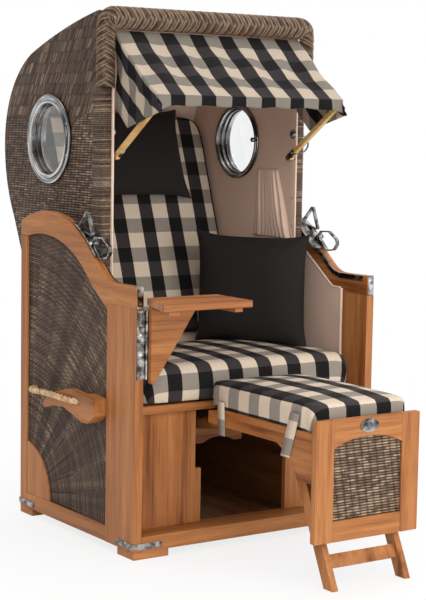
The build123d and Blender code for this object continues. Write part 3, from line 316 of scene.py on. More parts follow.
def sun_weave(name):
    """Wicker of a side panel: ribs fan out from the lower rear corner, their pitch in degrees."""
    graph = Graph(name, WICKER_ROUGHNESS, gloss=WICKER_GLOSS)
    _, y, z = graph.place()
    forward = SUN_Y - y
    rise = z - SUN_Z
    reach = graph.distance(forward, rise)
    angle = graph.math("ARCTAN2", rise, forward) * (180.0 / math.pi)
    far = graph.step(reach, SUN_SPLIT)
    rib = SUN_RIB_NEAR - far * (SUN_RIB_NEAR - SUN_RIB_FAR)
    height, row = over_under(graph, angle, reach, rib, SUN_STRAND, 0.5)
    block = graph.floor(angle / (rib * 1.5))
    tone = graph.chance(graph.combine(graph.floor(block * 0.34), row, 7.0))
    rust = graph.noise(graph.combine(angle * 0.16, reach * 1.2, 4.0), 1.0, 2.0)
    groove = abs(graph.fract(angle / GROOVE_EVERY) - 0.5)
    open_field = 1.0 - graph.spread(groove, 0.40, 0.49, 0.0, 0.75) * (1.0 - far)
    tone = tone * 0.45 + (graph.spread(rust, 0.40, 0.66, -0.12, 0.34) + 0.14)
    # Light factor: painted shade and highlight from the strand height, darkened further in the grooves:
    # painted shade in the grooves.
    light = graph.spread(height, 0.08, 0.92, 0.06, 1.55) * open_field
    return woven(graph, height * open_field, tone, light)


def strand(name, tone):
    """One tone of the round strands of braid and wraps."""
    graph = Graph(name, 0.55, gloss=0.3)
    streak = graph.noise(graph.combine(*(spot * 90.0 for spot in graph.place())), 1.0, 2.0)
    graph.bump(streak, 0.0005, 0.6)
    return graph.done(graph.ramp(graph.spread(streak, 0.3, 0.7, tone - 0.14, tone + 0.14), WICKER_STOPS))


CHECK = {"light": (0.640, 0.525, 0.405), "grey": (0.275, 0.238, 0.200),
         "coal": (0.036, 0.030, 0.030), "black": (0.0072, 0.0060, 0.0056)}
THREAD_PITCH = 0.0016


def threads(graph, u, v):
    """Height of a fine plain cloth weave."""
    rate = 2.0 * math.pi / THREAD_PITCH
    return graph.math("SINE", u * rate) * graph.math("SINE", v * rate)


def check_cloth(name, across_pitch, along_pitch, shift_u=0.0, shift_v=0.0, level=1.0, crumple=10.0):
    """Woven check: light and dark stripes that cross."""
    graph = Graph(name, 0.90, gloss=0.22)
    u, v = graph.cut()
    wander = graph.noise(graph.combine(u * 8.0, v * 8.0, 1.0), 1.0, 2.0)
    shaken = (wander - 0.5) * 0.0035
    column = graph.step(graph.fract((u + shaken + shift_u) / across_pitch), 0.53)
    row = graph.step(graph.fract((v + shaken + shift_v) / along_pitch), 0.51)
    colour = graph.mix(column, graph.mix(row, CHECK["light"], CHECK["grey"]),
                       graph.mix(row, CHECK["coal"], CHECK["black"]))
    fine = graph.noise(graph.combine(u * 900.0, v * 160.0, 0.0), 1.0, 1.0)
    cross = graph.noise(graph.combine(u * 160.0, v * 900.0, 5.0), 1.0, 1.0)
    graph.bump(threads(graph, u, v) + wander * crumple, 0.00035, 0.6)
    return graph.done(graph.shade(colour, graph.spread(fine + cross, 0.7, 1.3, 0.86 * level, 1.13 * level)))


def canvas(name, colour, roughness, slack, gloss=0.3):
    """Plain cloth with a fine weave and slack ripples."""
    graph = Graph(name, roughness, gloss=gloss)
    x, y, z = graph.place()
    broad = graph.noise(graph.combine(x * 5.0, y * 5.0, z * 4.0), 1.0, 3.0)
    fine = graph.noise(graph.combine(x * 700.0, y * 700.0, z * 700.0), 1.0, 1.0)
    level = graph.spread(broad, 0.35, 0.65, 0.93, 1.05) + graph.spread(fine, 0.3, 0.7, -0.06, 0.06)
    graph.bump(fine * 0.0003 + broad * slack, 1.0, 0.5)
    return graph.done(graph.shade(colour, level))


def metal(name, darkest, lightest, low, high, scale, dents, porthole=False):
    """Polished metal with painted dark and light reflections in its colour, uneven polish and slight marks.
    """
    graph = Graph(name, low, 1.0)
    x, y, z = graph.place()
    spot = graph.combine(x, y, z)
    if porthole:
        ahead, above = y - PORTHOLE_Y, z - PORTHOLE_Z
        reach = graph.distance(ahead, above)
        smear_and_reflection = graph.noise(graph.combine(ahead / reach, above / reach, reach * 150.0), scale, 2.0)
    else:
        smear_and_reflection = graph.noise(spot, scale, 3.0)
    fine = graph.noise(spot, 160.0, 2.0)
    graph.bump(smear_and_reflection + fine * 0.3, dents, 0.4)
    # The colour ramp from dark to light is painted reflection; the same noise gives the slight marks in the
    # bump.
    half = tuple(a * 0.62 + b * 0.38 for a, b in zip(darkest, lightest))
    reflection_tint = graph.ramp(smear_and_reflection, [(0.36, darkest), (0.50, half), (0.62, lightest)])
    return graph.done(reflection_tint, graph.spread(fine, 0.3, 0.7, low, high))


def glass_material(name):
    """Clear glass with a trace of dust."""
    graph = Graph(name, 0.02, gloss=0.12)
    graph.shader.inputs["Transmission Weight"].default_value = 1.0
    graph.shader.inputs["IOR"].default_value = 1.40
    dust = graph.noise(graph.combine(*graph.place()), 26.0, 3.0)
    return graph.done(graph.ramp(dust, [(0.3, (0.95, 0.965, 0.965)), (0.7, (0.98, 0.985, 0.985))]),
                      graph.spread(dust, 0.4, 0.7, 0.0, 0.02))


def rope_material(name):
    """Hemp with fibres along the strand."""
    graph = Graph(name, 0.85)
    u, v = graph.cut()
    fibre = graph.noise(graph.combine(u * 60.0, v * 26.0, 0.0), 1.0, 3.0)
    graph.bump(fibre, 0.0010)
    return graph.done(graph.ramp(fibre, [(0.32, (0.330, 0.190, 0.090)), (0.5, (0.560, 0.370, 0.200)),
                                         (0.68, (0.740, 0.540, 0.340))]))


TEAK_X = teak("teak_across", 0)
TEAK_Y = teak("teak_deep", 1)
TEAK_Z = teak("teak_upright", 2)
# Teak darkened to about a third for the floor boards and runners inside the base: painted shade of the dark
# interior.
TEAK_FLOOR_SHADED = teak("teak_floor_painted_shade", 1, 0.34)
STICK = teak("pale_stick", 1, 1.0, STICK_TONES)
HOOD_SIDE = hood_weave("wicker_hood_side", False)
HOOD_BACK = hood_weave("wicker_hood_back", True)
SUN = sun_weave("wicker_side_panel")
FIELD = plain_weave("wicker_field", 0)
STRANDS = [strand("strand_dark", 0.22), strand("strand_mid", 0.56), strand("strand_light", 0.84)]
# Nearly black core under the braid and wrap strands: painted shade in the gaps between strands.
SHADED_CORE = strand("strand_core_painted_shade", 0.02)
CHECKED = check_cloth("check_cloth", 0.109, 0.100)
LINING = canvas("lining_canvas", (0.660, 0.475, 0.375), 0.88, 0.010)
BEADING = canvas("pale_piping", (0.720, 0.560, 0.450), 0.80, 0.0)
DARK_CLOTH = canvas("dark_canvas", (0.0170, 0.0132, 0.0135), 0.88, 0.012, 0.2)
CHROME = metal("chrome", (0.07, 0.065, 0.06), (0.88, 0.88, 0.90), 0.05, 0.15, 34.0, 0.0006)
RING_CHROME = metal("ring_chrome", (0.075, 0.070, 0.066), (0.60, 0.60, 0.60), 0.08, 0.18, 0.9, 0.0003, True)
STEEL = metal("steel", (0.060, 0.054, 0.050), (0.46, 0.45, 0.44), 0.22, 0.38, 46.0, 0.0005)
GLASS = glass_material("porthole_glass")
ROPE = rope_material("laid_rope")


# CAD nodes that stay, with a better surface

def dress(node, material, bevel=0.0, segments=2):
    """Give a CAD node its material and rounded edges."""
    piece = NODES[node]
    piece.data.materials.clear()
    piece.data.materials.append(material)
    weld = piece.modifiers.new("weld", "WELD")
    weld.merge_threshold = 0.00005
    if bevel:
        rounding = piece.modifiers.new("rounding", "BEVEL")
        rounding.width = bevel
        rounding.segments = segments
        rounding.limit_method = "ANGLE"
        rounding.angle_limit = 0.6
        rounding.use_clamp_overlap = True
    evened = piece.modifiers.new("evened", "WEIGHTED_NORMAL")
    evened.keep_sharp = False
    evened.weight = 90


for side in ("left_", "right_"):
    dress(side + "arm_rail", TEAK_Y, 0.004, 3)
    dress(side + "front_post", TEAK_Z, 0.002)
    dress(side + "side_panel", SUN)
    dress(side + "hood_wall", HOOD_SIDE, 0.011, 4)
    dress(side + "latch_handle", STEEL, 0.0008)
for node, material, bevel in (
        ("rear_stiles", TEAK_Z, 0.002), ("side_bottom_rails", TEAK_Y, 0.002),
        ("corner_gussets", TEAK_Z, 0.003), ("cross_rails", TEAK_X, 0.002),
        ("front_panels", TEAK_Z, 0.0015), ("seat_front_rail", TEAK_X, 0.002),
        # Floor boards and footrest runners take the darkened teak: painted shade inside the base.
        ("seat_deck", TEAK_X, 0.002), ("floor_boards", TEAK_FLOOR_SHADED, 0.0008),
        ("base_back_panel", FIELD, 0.0), ("footrest_runners", TEAK_FLOOR_SHADED, 0.001),
        ("foot_blocks", TEAK_X, 0.003), ("handle_grips", TEAK_Y, 0.009),
        ("lining_boards", LINING, 0.001), ("corner_brackets", STEEL, 0.0008),
        ("post_straps", CHROME, 0.0006), ("latch_rails", STEEL, 0.0006),
        ("hood_pivot_bolts", STEEL, 0.001), ("table_post_leaf", STEEL, 0.0006),
        # The edge wraps take the near-black core: painted shade between the wrap strands.
        ("edge_wraps", SHADED_CORE, 0.0), ("hood_linings", LINING, 0.0),
        ("porthole_flanges", RING_CHROME, 0.002), ("porthole_rings", RING_CHROME, 0.002),
        ("porthole_glasses", GLASS, 0.0), ("backrest_board", LINING, 0.001),
        ("latch_carriers", STEEL, 0.0005), ("pull_loops", STEEL, 0.0008),
        ("awning_pivots", STEEL, 0.0008), ("awning_frame", STICK, 0.0012),
        ("table_top", TEAK_X, 0.003), ("table_supports", TEAK_X, 0.002),
        ("table_hinge_leaf", STEEL, 0.0005), ("footrest_stiles", TEAK_Z, 0.0025),
        ("footrest_rails", TEAK_X, 0.0025), ("footrest_inlay", FIELD, 0.0),
        ("name_plate", STEEL, 0.0006), ("footrest_aprons", TEAK_Y, 0.002),
        ("footrest_deck", TEAK_X, 0.0015), ("footrest_tail", TEAK_X, 0.0015),
        ("leg_frame", TEAK_Z, 0.003), ("leg_pins", STEEL, 0.0008)):
    dress(node, material, bevel)


# Mesh helpers

def new_object(name, data):
    made = bpy.data.objects.new(name, data)
    bpy.context.scene.collection.objects.link(made)
    return made


class Batch:
    """Collects many small forms into one mesh."""

    def __init__(self):
        self.verts, self.faces, self.picks, self.cut = [], [], [], []

    def add(self, verts, faces, cut=None, pick=0):
        """Add a form, with its cloth places and the number of its material."""
        start = len(self.verts)
        self.verts += [Vector(v) for v in verts]
        self.faces += [tuple(start + index for index in face) for face in faces]
        self.picks += [pick] * len(faces)
        self.cut += cut or [(0.0, 0.0)] * len(verts)

    def piece(self, name, materials, body, slot, replaces=()):
        """Make the object, placed and riding on its body."""
        mesh = bpy.data.meshes.new(name)
        mesh.from_pydata([(v.x, v.y + SET_BACK, v.z) for v in self.verts], [], self.faces)
        for material in materials:
            mesh.materials.append(material)
        mesh.polygons.foreach_set("material_index", self.picks)
        mesh.polygons.foreach_set("use_smooth", [True] * len(self.faces))
        layer = mesh.uv_layers.new(name="cut")
        for loop in mesh.loops:
            layer.data[loop.index].uv = self.cut[loop.vertex_index]
        mesh.update()
        made = new_object(name, mesh)
        if body:
            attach(made, body)
        if replaces:
            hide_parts(*replaces)
        return made


def between(low, high, share):
    return low + (high - low) * share


def turns(count, start=0.0):
    """Angles at even steps round a circle."""
    return [2 * math.pi * (k + start) / count for k in range(count)]


def grid_faces(rows, columns, closed=False):
    """Quads between neighbouring rows of points."""
    faces = []
    last = columns if closed else columns - 1
    for row in range(rows - 1):
        for column in range(last):
            after = (column + 1) % columns
            faces.append((row * columns + column, row * columns + after,
                          (row + 1) * columns + after, (row + 1) * columns + column))
    return faces


def rod_faces(count, sides):
    """Faces round a rod of rings, with its two ends."""
    faces = grid_faces(count, sides, True)
    faces.append(tuple(range(sides - 1, -1, -1)))
    faces.append(tuple((count - 1) * sides + side for side in range(sides)))
    return faces


def run_at(points, index):
    """Direction of a line of points at one of them."""
    return (points[min(index + 1, len(points) - 1)] - points[max(index - 1, 0)]).normalized()


def bar(points, outward, half_width, half_height, sides=6):
    """Strand of oval section along points, flat side towards the outward direction."""
    verts = []
    for index, (point, out) in enumerate(zip(points, outward)):
        run = run_at(points, index)
        across = run.cross(out).normalized()
        up = across.cross(run).normalized()
        verts += [point + across * half_width * math.cos(turn) + up * half_height * math.sin(turn)
                  for turn in turns(sides)]
    return verts, rod_faces(len(points), sides)


def tube(points, radius, sides=8, start_up=(1, 0, 0)):
    """Round tube along points, with its length and girth as cloth places."""
    verts, cut = [], []
    out = Vector(start_up)
    travelled = 0.0
    for index, point in enumerate(points):
        run = run_at(points, index)
        out = (out - run * out.dot(run)).normalized()
        across = run.cross(out)
        if index:
            travelled += (point - points[index - 1]).length
        for turn in turns(sides):
            verts.append(point + out * radius * math.cos(turn) + across * radius * math.sin(turn))
            cut.append((travelled, radius * turn))
    return verts, rod_faces(len(points), sides), cut


STUD_RINGS = ((1.0, -0.4), (1.0, 0.25), (0.78, 0.85), (0.42, 1.0), (0.28, 0.35), (0.02, 0.30))
STUD_SIDES = 12


def stud(centre, normal, radius, height):
    """Screw head with a shallow recess."""
    centre, normal = Vector(centre), Vector(normal).normalized()
    side_way = normal.orthogonal().normalized()
    up = normal.cross(side_way)
    verts = []
    for share, lift in STUD_RINGS:
        for turn in turns(STUD_SIDES):
            out = side_way * math.cos(turn) + up * math.sin(turn)
            verts.append(centre + out * radius * share + normal * height * lift)
    return verts, grid_faces(len(STUD_RINGS), STUD_SIDES, True)


def arc(first, middle, last, steps):
    """Points on the circle through three points in a plane."""
    (ax, ay), (bx, by), (cx, cy) = first, middle, last
    d = 2 * (ax * (by - cy) + bx * (cy - ay) + cx * (ay - by))
    a2, b2, c2 = ax * ax + ay * ay, bx * bx + by * by, cx * cx + cy * cy
    ux = (a2 * (by - cy) + b2 * (cy - ay) + c2 * (ay - by)) / d
    uy = (a2 * (cx - bx) + b2 * (ax - cx) + c2 * (bx - ax)) / d
    radius = math.hypot(ax - ux, ay - uy)
    start, through, end = (math.atan2(y - uy, x - ux) for x, y in (first, middle, last))
    sweep = (end - start) % (2 * math.pi)
    if (through - start) % (2 * math.pi) > sweep:
        sweep -= 2 * math.pi
    return [(ux + radius * math.cos(start + sweep * k / steps),
             uy + radius * math.sin(start + sweep * k / steps)) for k in range(steps + 1)]


def evenly(points, step):
    """The same line with points at an even distance, and its length."""
    lengths = [0.0]
    for before, after in zip(points, points[1:]):
        lengths.append(lengths[-1] + (after - before).length)
    count = max(2, int(lengths[-1] / step))
    found, index = [], 0
    for k in range(count + 1):
        want = lengths[-1] * k / count
        while index < len(points) - 2 and lengths[index + 1] < want:
            index += 1
        run = lengths[index + 1] - lengths[index]
        found.append(points[index].lerp(points[index + 1], (want - lengths[index]) / run if run else 0))
    return found, lengths[-1]


def wobble(point, scale, seed):
    """Smooth change between -1 and 1."""
    x, y, z = point
    return noise.noise(Vector((x * scale + seed, y * scale - seed, z * scale + 2 * seed)))


# Camera, as solved from the photo

CAMERA_PLACE = (-2.802, -4.217, 1.245)
CAMERA_YAW, CAMERA_PITCH, CAMERA_ROLL = -34.224, -6.123, 0.936
FOCAL_PIXELS, PHOTO_HEIGHT = 1610.22, 600
SENSOR = 36


def camera():
    """Camera of the photo, from the place, turns and focal length above."""
    yaw, pitch, roll = (math.radians(turn) for turn in (CAMERA_YAW, CAMERA_PITCH, CAMERA_ROLL))
    forward = Vector((-math.sin(yaw) * math.cos(pitch), math.cos(yaw) * math.cos(pitch), math.sin(pitch)))
    level = Vector((math.cos(yaw), math.sin(yaw), 0))
    upright = level.cross(forward)
    right = math.cos(roll) * level + math.sin(roll) * upright
    up = -math.sin(roll) * level + math.cos(roll) * upright
    data = bpy.data.cameras.new("camera")
    data.lens = FOCAL_PIXELS / PHOTO_HEIGHT * SENSOR
    data.sensor_width = SENSOR
    made = new_object("camera", data)
    turn = Matrix((right, up, -forward)).transposed()
    made.matrix_world = Matrix.Translation(Vector(CAMERA_PLACE) + Vector((0, SET_BACK, 0))) @ turn.to_4x4()
    bpy.context.scene.camera = made


camera()


# Handle ropes: the free cords come first

ROPE_ROUTE = [(0.4285, 0.256, 0.415), (0.4848, 0.215, 0.424), (0.4848, 0.075, 0.431),
              (0.4848, -0.087, 0.427), (0.4618, -0.087, 0.427)]
ROPE_SIZE = 0.018
ROPE_LAY = 0.064
ROPE_STEP = 0.003
ROPE_STRANDS = 3


def rope_line(side):
    """Points on the smooth line of a rope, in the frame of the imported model."""
    curve = bpy.data.curves.new("route", "CURVE")
    curve.dimensions = "3D"
    curve.resolution_u = 24
    line = curve.splines.new("NURBS")
    line.points.add(len(ROPE_ROUTE) - 1)
    for point, (x, y, z) in zip(line.points, ROPE_ROUTE):
        point.co = (side * x, y + SET_BACK, z, 1.0)
    line.order_u = 3
    line.use_endpoint_u = True
    holder = new_object("route", curve)
    mesh = bpy.data.meshes.new_from_object(holder)
    points = [vert.co.copy() for vert in mesh.vertices]
    bpy.data.objects.remove(holder)
    bpy.data.meshes.remove(mesh)
    return points


def rope(side, name):
    """Three strands laid round the rope's line."""
    route = rope_line(side)
    points, length = evenly(route, ROPE_STEP)
    batch = Batch()
    for strand_index in range(ROPE_STRANDS):
        helix = []
        out = Vector((side, 0, 0))
        for index, point in enumerate(points):
            run = run_at(points, index)
            out = (out - run * out.dot(run)).normalized()
            turn = 2 * math.pi * (index * ROPE_STEP / ROPE_LAY + strand_index / ROPE_STRANDS)
            helix.append(point + (out * math.cos(turn) + run.cross(out) * math.sin(turn)) * ROPE_SIZE * 0.26)
        helix = [Vector((p.x, p.y - SET_BACK, p.z)) for p in helix]
        batch.add(*tube(helix, ROPE_SIZE * 0.30, 12))
    made = batch.piece(name, [ROPE], "base", "rope", ("handle_ropes",))


for side, name in zip(SIDES, ("left_rope", "right_rope")):
    rope(side, name)


# Hood

ROOF_FRONT, ROOF_REAR = (-0.020, 1.585), (0.3710, 1.4800)
BACK_TOP, BACK_TURN, BACK_FOOT = (0.5850, 1.1900), (0.518, 0.944), (0.351, 0.600)
SHELL_THICKNESS = 0.030
SHELL_HALF, SHELL_HALF_INSIDE = 0.3655, 0.3449
SHELL_TOP_PLACE = 1.6


def hood_profile():
    """Outer line of the roof and back, from the braid to the lower rear edge."""
    line = [(-0.030, 1.585)]
    line += arc(ROOF_FRONT, (0.1499, 1.5480), ROOF_REAR, 14)
    line += arc(ROOF_REAR, (0.5200, 1.3750), BACK_TOP, 16)[1:]
    line += arc(BACK_TOP, (0.5700, 1.0630), BACK_TURN, 10)[1:]
    line += [(between(BACK_TURN[0], BACK_FOOT[0], k / 10), between(BACK_TURN[1], BACK_FOOT[1], k / 10))
             for k in range(1, 11)]
    return line


def offset_line(line, distance):
    """Line moved to its left."""
    moved = []
    for index, (y, z) in enumerate(line):
        before, after = line[max(index - 1, 0)], line[min(index + 1, len(line) - 1)]
        dy, dz = after[0] - before[0], after[1] - before[1]
        size = math.hypot(dy, dz)
        moved.append((y - distance * dz / size, z + distance * dy / size))
    return moved


def hood_shell():
    """Woven roof and back, lined on the inside."""
    line = hood_profile()
    batch = Batch()
    stops = [(-SHELL_HALF, -0.0012), (-0.358, 0.0004)] + [(-0.35 + 0.7 * k / 20, 0.0004) for k in range(21)]
    stops += [(0.358, 0.0004), (SHELL_HALF, -0.0012)]
    travelled = [0.0]
    for before, after in zip(line, line[1:]):
        travelled.append(travelled[-1] + math.hypot(after[0] - before[0], after[1] - before[1]))
    verts, cut = [], []
    for index in range(len(line)):
        for x, lift in stops:
            verts.append((x, *offset_line(line, lift)[index]))
            cut.append((x, SHELL_TOP_PLACE - travelled[index]))
    batch.add(verts, grid_faces(len(line), len(stops)), cut)
    inner = offset_line(line, -SHELL_THICKNESS)
    inside = (-SHELL_HALF_INSIDE, 0.0, SHELL_HALF_INSIDE)
    batch.add([(-x, y, z) for y, z in inner for x in inside], grid_faces(len(line), 3), pick=1)
    for end in (0, len(line) - 1):
        batch.add([(x, y, z) for y, z in (line[end], inner[end]) for x in inside], grid_faces(2, 3))
    batch.piece("hood_shell_woven", [HOOD_BACK, LINING], "hood", "wicker", ("hood_shell",))


hood_shell()

WRAP_COUNT, WRAP_PITCH, WRAP_FOOT = 135, 0.0060, 0.548
WRAP_CORNER = 0.009
WRAP_RISE = 0.0022


def wrap_rings():
    """Strands wound round the front edge of each hood side."""
    batch = Batch()
    path = [(0.376, 0.004), (0.376, -0.020), (0.376, -0.046)]
    path += [(0.367 + WRAP_CORNER * math.cos(a), -0.046 - WRAP_CORNER * math.sin(a))
             for a in (math.radians(30), math.radians(60), math.radians(90))]
    path += [(0.356, -0.055), (0.3455, -0.0548)]
    for side in SIDES:
        outs = [Vector((side, 0, 0))] * 3
        outs += [Vector((side * math.cos(a), -math.sin(a), 0)) for a in (0.52, 1.05, 1.57)]
        outs += [Vector((0, -1, 0))] * 2
        for index in range(WRAP_COUNT):
            z = WRAP_FOOT + index * WRAP_PITCH
            points = [Vector((side * x, y, z + WRAP_RISE * k / len(path))) for k, (x, y) in enumerate(path)]
            tone = wobble((side, 0, index * 7.3), 1.7, 3.1)
            pick = 0 if tone < -0.30 else (2 if tone > 0.22 else 1)
            batch.add(*bar(points, outs, 0.0023, 0.0019), pick=pick)
    batch.piece("edge_wrap_strands", STRANDS, "hood", "wicker")


wrap_rings()


def facings():
    """Lining turned round the inner corner of each front edge, with its pale piping."""
    batch = Batch()
    path = [(0.3403, -0.0265), (0.3401, -0.040), (0.3406, -0.0535), (0.3440, -0.0568), (0.3475, -0.0560)]
    levels = [between(0.546, 1.548, k / 30) for k in range(31)]
    for side in SIDES:
        batch.add([(side * x, y, z) for z in levels for x, y in path], grid_faces(len(levels), len(path)))
        points = [Vector((side * 0.3418, -0.0575 + 0.0006 * wobble((0, 0, z), 9, side), z)) for z in levels]
        batch.add(*tube(points, 0.0030), pick=1)
    batch.piece("edge_facings", [LINING, BEADING], "hood", "lining_cloth")


facings()

BRAID_SIDE = 0.3685
BRAID_TOP = 1.5630
BRAID_FOOT = 1.357
BRAID_Y = -0.0555
BRAID_CORNER = 0.024
BRAID_SIDE_SIZE, BRAID_TOP_SIZE = 0.0285, 0.0350
BRAID_DEPTH = 0.0255
BRAID_PITCH = 0.0262
BUNDLE = 5
FORWARD = Vector((0, -1, 0))


def braid_line():
    """Centre line of the braid with its direction away from the hood and its size, foot to foot."""
    line = []
    corner_z = BRAID_TOP - BRAID_CORNER
    for k in range(61):
        place = Vector((-BRAID_SIDE, BRAID_Y, between(BRAID_FOOT, corner_z, k / 60)))
        line.append((place, Vector((-1, 0, 0)), BRAID_SIDE_SIZE))
    for k in range(1, 12):
        turn = math.radians(180 - 90 * k / 12)
        centre = Vector((-BRAID_SIDE + BRAID_CORNER, BRAID_Y, corner_z))
        out = Vector((math.cos(turn), 0, math.sin(turn)))
        line.append((centre + out * BRAID_CORNER, out, between(BRAID_SIDE_SIZE, BRAID_TOP_SIZE, k / 12)))
    half = len(line)
    for k in range(181):
        x = (BRAID_SIDE - BRAID_CORNER) * (2 * k / 180 - 1)
        line.append((Vector((x, BRAID_Y, BRAID_TOP)), Vector((0, 0, 1)), BRAID_TOP_SIZE))
    mirrored = [(Vector((-p.x, p.y, p.z)), Vector((-out.x, 0, out.z)), size) for p, out, size in line[:half]]
    return line + mirrored[::-1]


class BraidPath:
    """Looks up a place on the braid by its distance along the line."""

    def __init__(self):
        self.line = braid_line()
        self.at = [0.0]
        for before, after in zip(self.line, self.line[1:]):
            self.at.append(self.at[-1] + (after[0] - before[0]).length)
        self.length = self.at[-1]

    def frame(self, distance):
        distance = min(max(distance, 0.0), self.length - 1e-6)
        low, high = 0, len(self.at) - 1
        while high - low > 1:
            middle = (low + high) // 2
            if self.at[middle] <= distance:
                low = middle
            else:
                high = middle
        share = (distance - self.at[low]) / (self.at[high] - self.at[low])
        first, second = self.line[low], self.line[high]
        return (first[0].lerp(second[0], share), first[1].lerp(second[1], share).normalized(),
                between(first[2], second[2], share))

    def surface(self, distance, angle, lift):
        """Point and outward direction on the roll; the angle is 0 at the front."""
        centre, out, size = self.frame(distance)
        angle += 0.55 * abs(out.x) ** 2
        sideways, ahead = math.sin(angle), math.cos(angle)
        point = centre + out * sideways * (size - 0.003 + lift) + FORWARD * ahead * (BRAID_DEPTH + lift)
        return point, (out * sideways + FORWARD * ahead).normalized()


def braid_strand(path, start, half, index):
    """Points and outward directions of one strand, from the front apex round to its own side."""
    points, outs = [], []
    for k in range(10):
        share = k / 9
        distance = start - 0.032 * share ** 0.85 + 0.004
        if not 0 < distance < path.length:
            break
        angle = half * math.radians(-24 + 142 * share)
        dive = -0.0042 * max(0.0, 1 - share / 0.20) ** 1.5
        swell = 0.0022 * math.sin(math.pi * (index + 0.5) / BUNDLE)
        swell *= math.sin(math.pi * min(1, share * 1.15))
        point, out = path.surface(distance, angle, dive + swell)
        points.append(point)
        outs.append(out)
    return points, outs


def braid():
    """Plaited roll: bundles of five strands from each side meet in a point along the front."""
    path = BraidPath()
    batch = Batch()
    steps, sides = 220, 14
    # The roll under the strands takes the near-black core: painted shade between the strands.
    verts = [path.surface(path.length * k / steps, turn, -0.0035)[0]
             for k in range(steps + 1) for turn in turns(sides)]
    batch.add(verts, grid_faces(steps + 1, sides, True), pick=3)
    for half in SIDES:
        for bundle in range(int(path.length / BRAID_PITCH) + 2):
            for index in range(BUNDLE):
                start = (bundle + (0.5 if half > 0 else 0.0)) * BRAID_PITCH + index * BRAID_PITCH / BUNDLE
                points, outs = braid_strand(path, start, half, index)
                if len(points) < 4:
                    continue
                tone = wobble((bundle * 0.9 + half, index * 0.5, 0), 1.3, 5.2)
                pick = (0, 2, 1, 2, 1)[index] if tone > -0.15 else (0, 1, 1, 2, 0)[index]
                batch.add(*bar(points, outs, 0.0019, 0.0024), pick=pick)
    batch.piece("braid_strands", STRANDS + [SHADED_CORE], "hood", "wicker", ("braid_roll",))


braid()


# Cushions

CUSHION_DRAW = 0.007
CUSHION_UNDER = 0.001
CUSHION_GAP = 0.002
TOP_SHARES = [0.0, 0.18, 0.36, 0.52, 0.66, 0.78, 0.87, 0.93, 0.97]


def rounded_outline(width, depth, corner, count):
    """Points round a cushion whose sides are drawn in."""
    points = []
    for turn in turns(count):
        c, s = math.cos(turn), math.sin(turn)
        u = math.copysign(abs(c) ** (2.0 / corner), c)
        v = math.copysign(abs(s) ** (2.0 / corner), s)
        points.append((u * (width / 2 - CUSHION_DRAW * 0.7 * (1 - v ** 4)),
                       v * (depth / 2 - CUSHION_DRAW * 0.7 * (1 - u ** 4))))
    return points


def box_cushion(name, width, depth, edge, crown, place, body, replaces, seed, shift, soften,
                pucker=0.0012, piped=False, corner=11.0, count=176, swell=0.0035):
    """Boxed cushion: crowned top, rolled edge, side band that swells and drawn-in sides."""
    outline = rounded_outline(width - CUSHION_GAP, depth - CUSHION_GAP, corner, count)
    rings = [("top", share) for share in TOP_SHARES]
    rings += [("roll", turn) for turn in (0, 15, 30, 45, 60, 75, 90)]
    rings += [("side", share) for share in (0.2, 0.4, 0.6, 0.8, 1.0)]
    rings += [("low", share) for share in [1.0] + TOP_SHARES[::-1]]

    def fullness(x, y):
        return max(0.0, (1 - abs(2 * x / width) ** 3.2) * (1 - abs(2 * y / depth) ** 3.2))

    verts, cut = [], []
    for kind, share in rings:
        for index, (x, y) in enumerate(outline):
            ahead, behind = outline[(index + 1) % count], outline[index - 1]
            normal = Vector((ahead[1] - behind[1], behind[0] - ahead[0], 0)).normalized()
            around = index / count * 2 * (width + depth)
            gather = pucker * math.sin(around / 0.021 + 3 * wobble((x, y, 0), 6.0, seed))
            soft = soften * (1 - 0.7 * max(0.0, normal.y) ** 2)
            inner = Vector((x, y, 0)) - normal * soft
            flat, drop = inner, 0.0
            if kind == "top":
                flat = inner * share
                full = fullness(flat.x, flat.y)
                lump = wobble((flat.x, flat.y, seed), 5.0, seed) * crown * 0.16 * full
                spot = Vector((flat.x, flat.y, edge / 2 + crown * full + lump))
            elif kind == "roll":
                turn = math.radians(share)
                spot = inner + normal * soft * math.sin(turn)
                spot.z = edge / 2 - soft * (1 - math.cos(turn))
                spot.z += crown * fullness(inner.x, inner.y) * math.cos(turn) ** 2
                spot += normal * gather * math.sin(turn)
                drop = soft * turn
            elif kind == "side":
                bulge = swell * math.sin(math.pi * share) + gather
                spot = Vector((x, y, edge / 2 - soft - (edge - soft) * share)) + normal * bulge
                drop = soft * math.pi / 2 + (edge - soft) * share
            else:
                flat = Vector((x * share, y * share, 0))
                spot = Vector((flat.x, flat.y, -edge / 2 - CUSHION_UNDER * fullness(flat.x, flat.y)))
            verts.append(place @ spot)
            cut.append((flat.x + normal.x * drop + shift[0], flat.y + normal.y * drop + shift[1]))
    batch = Batch()
    batch.add(verts, grid_faces(len(rings), count, True), cut)
    for level in (edge / 2 - 0.001, -edge / 2 + 0.001) if piped else ():
        loop = [place @ Vector((x * 0.9985, y * 0.9985, level)) for x, y in outline]
        batch.add(*tube(loop + loop[:1], 0.0024, 6, (0.1, 0.2, 1)), pick=1)
    made = batch.piece(name, [CHECKED, DARK_CLOTH], body, "check_cloth", replaces)
    return made


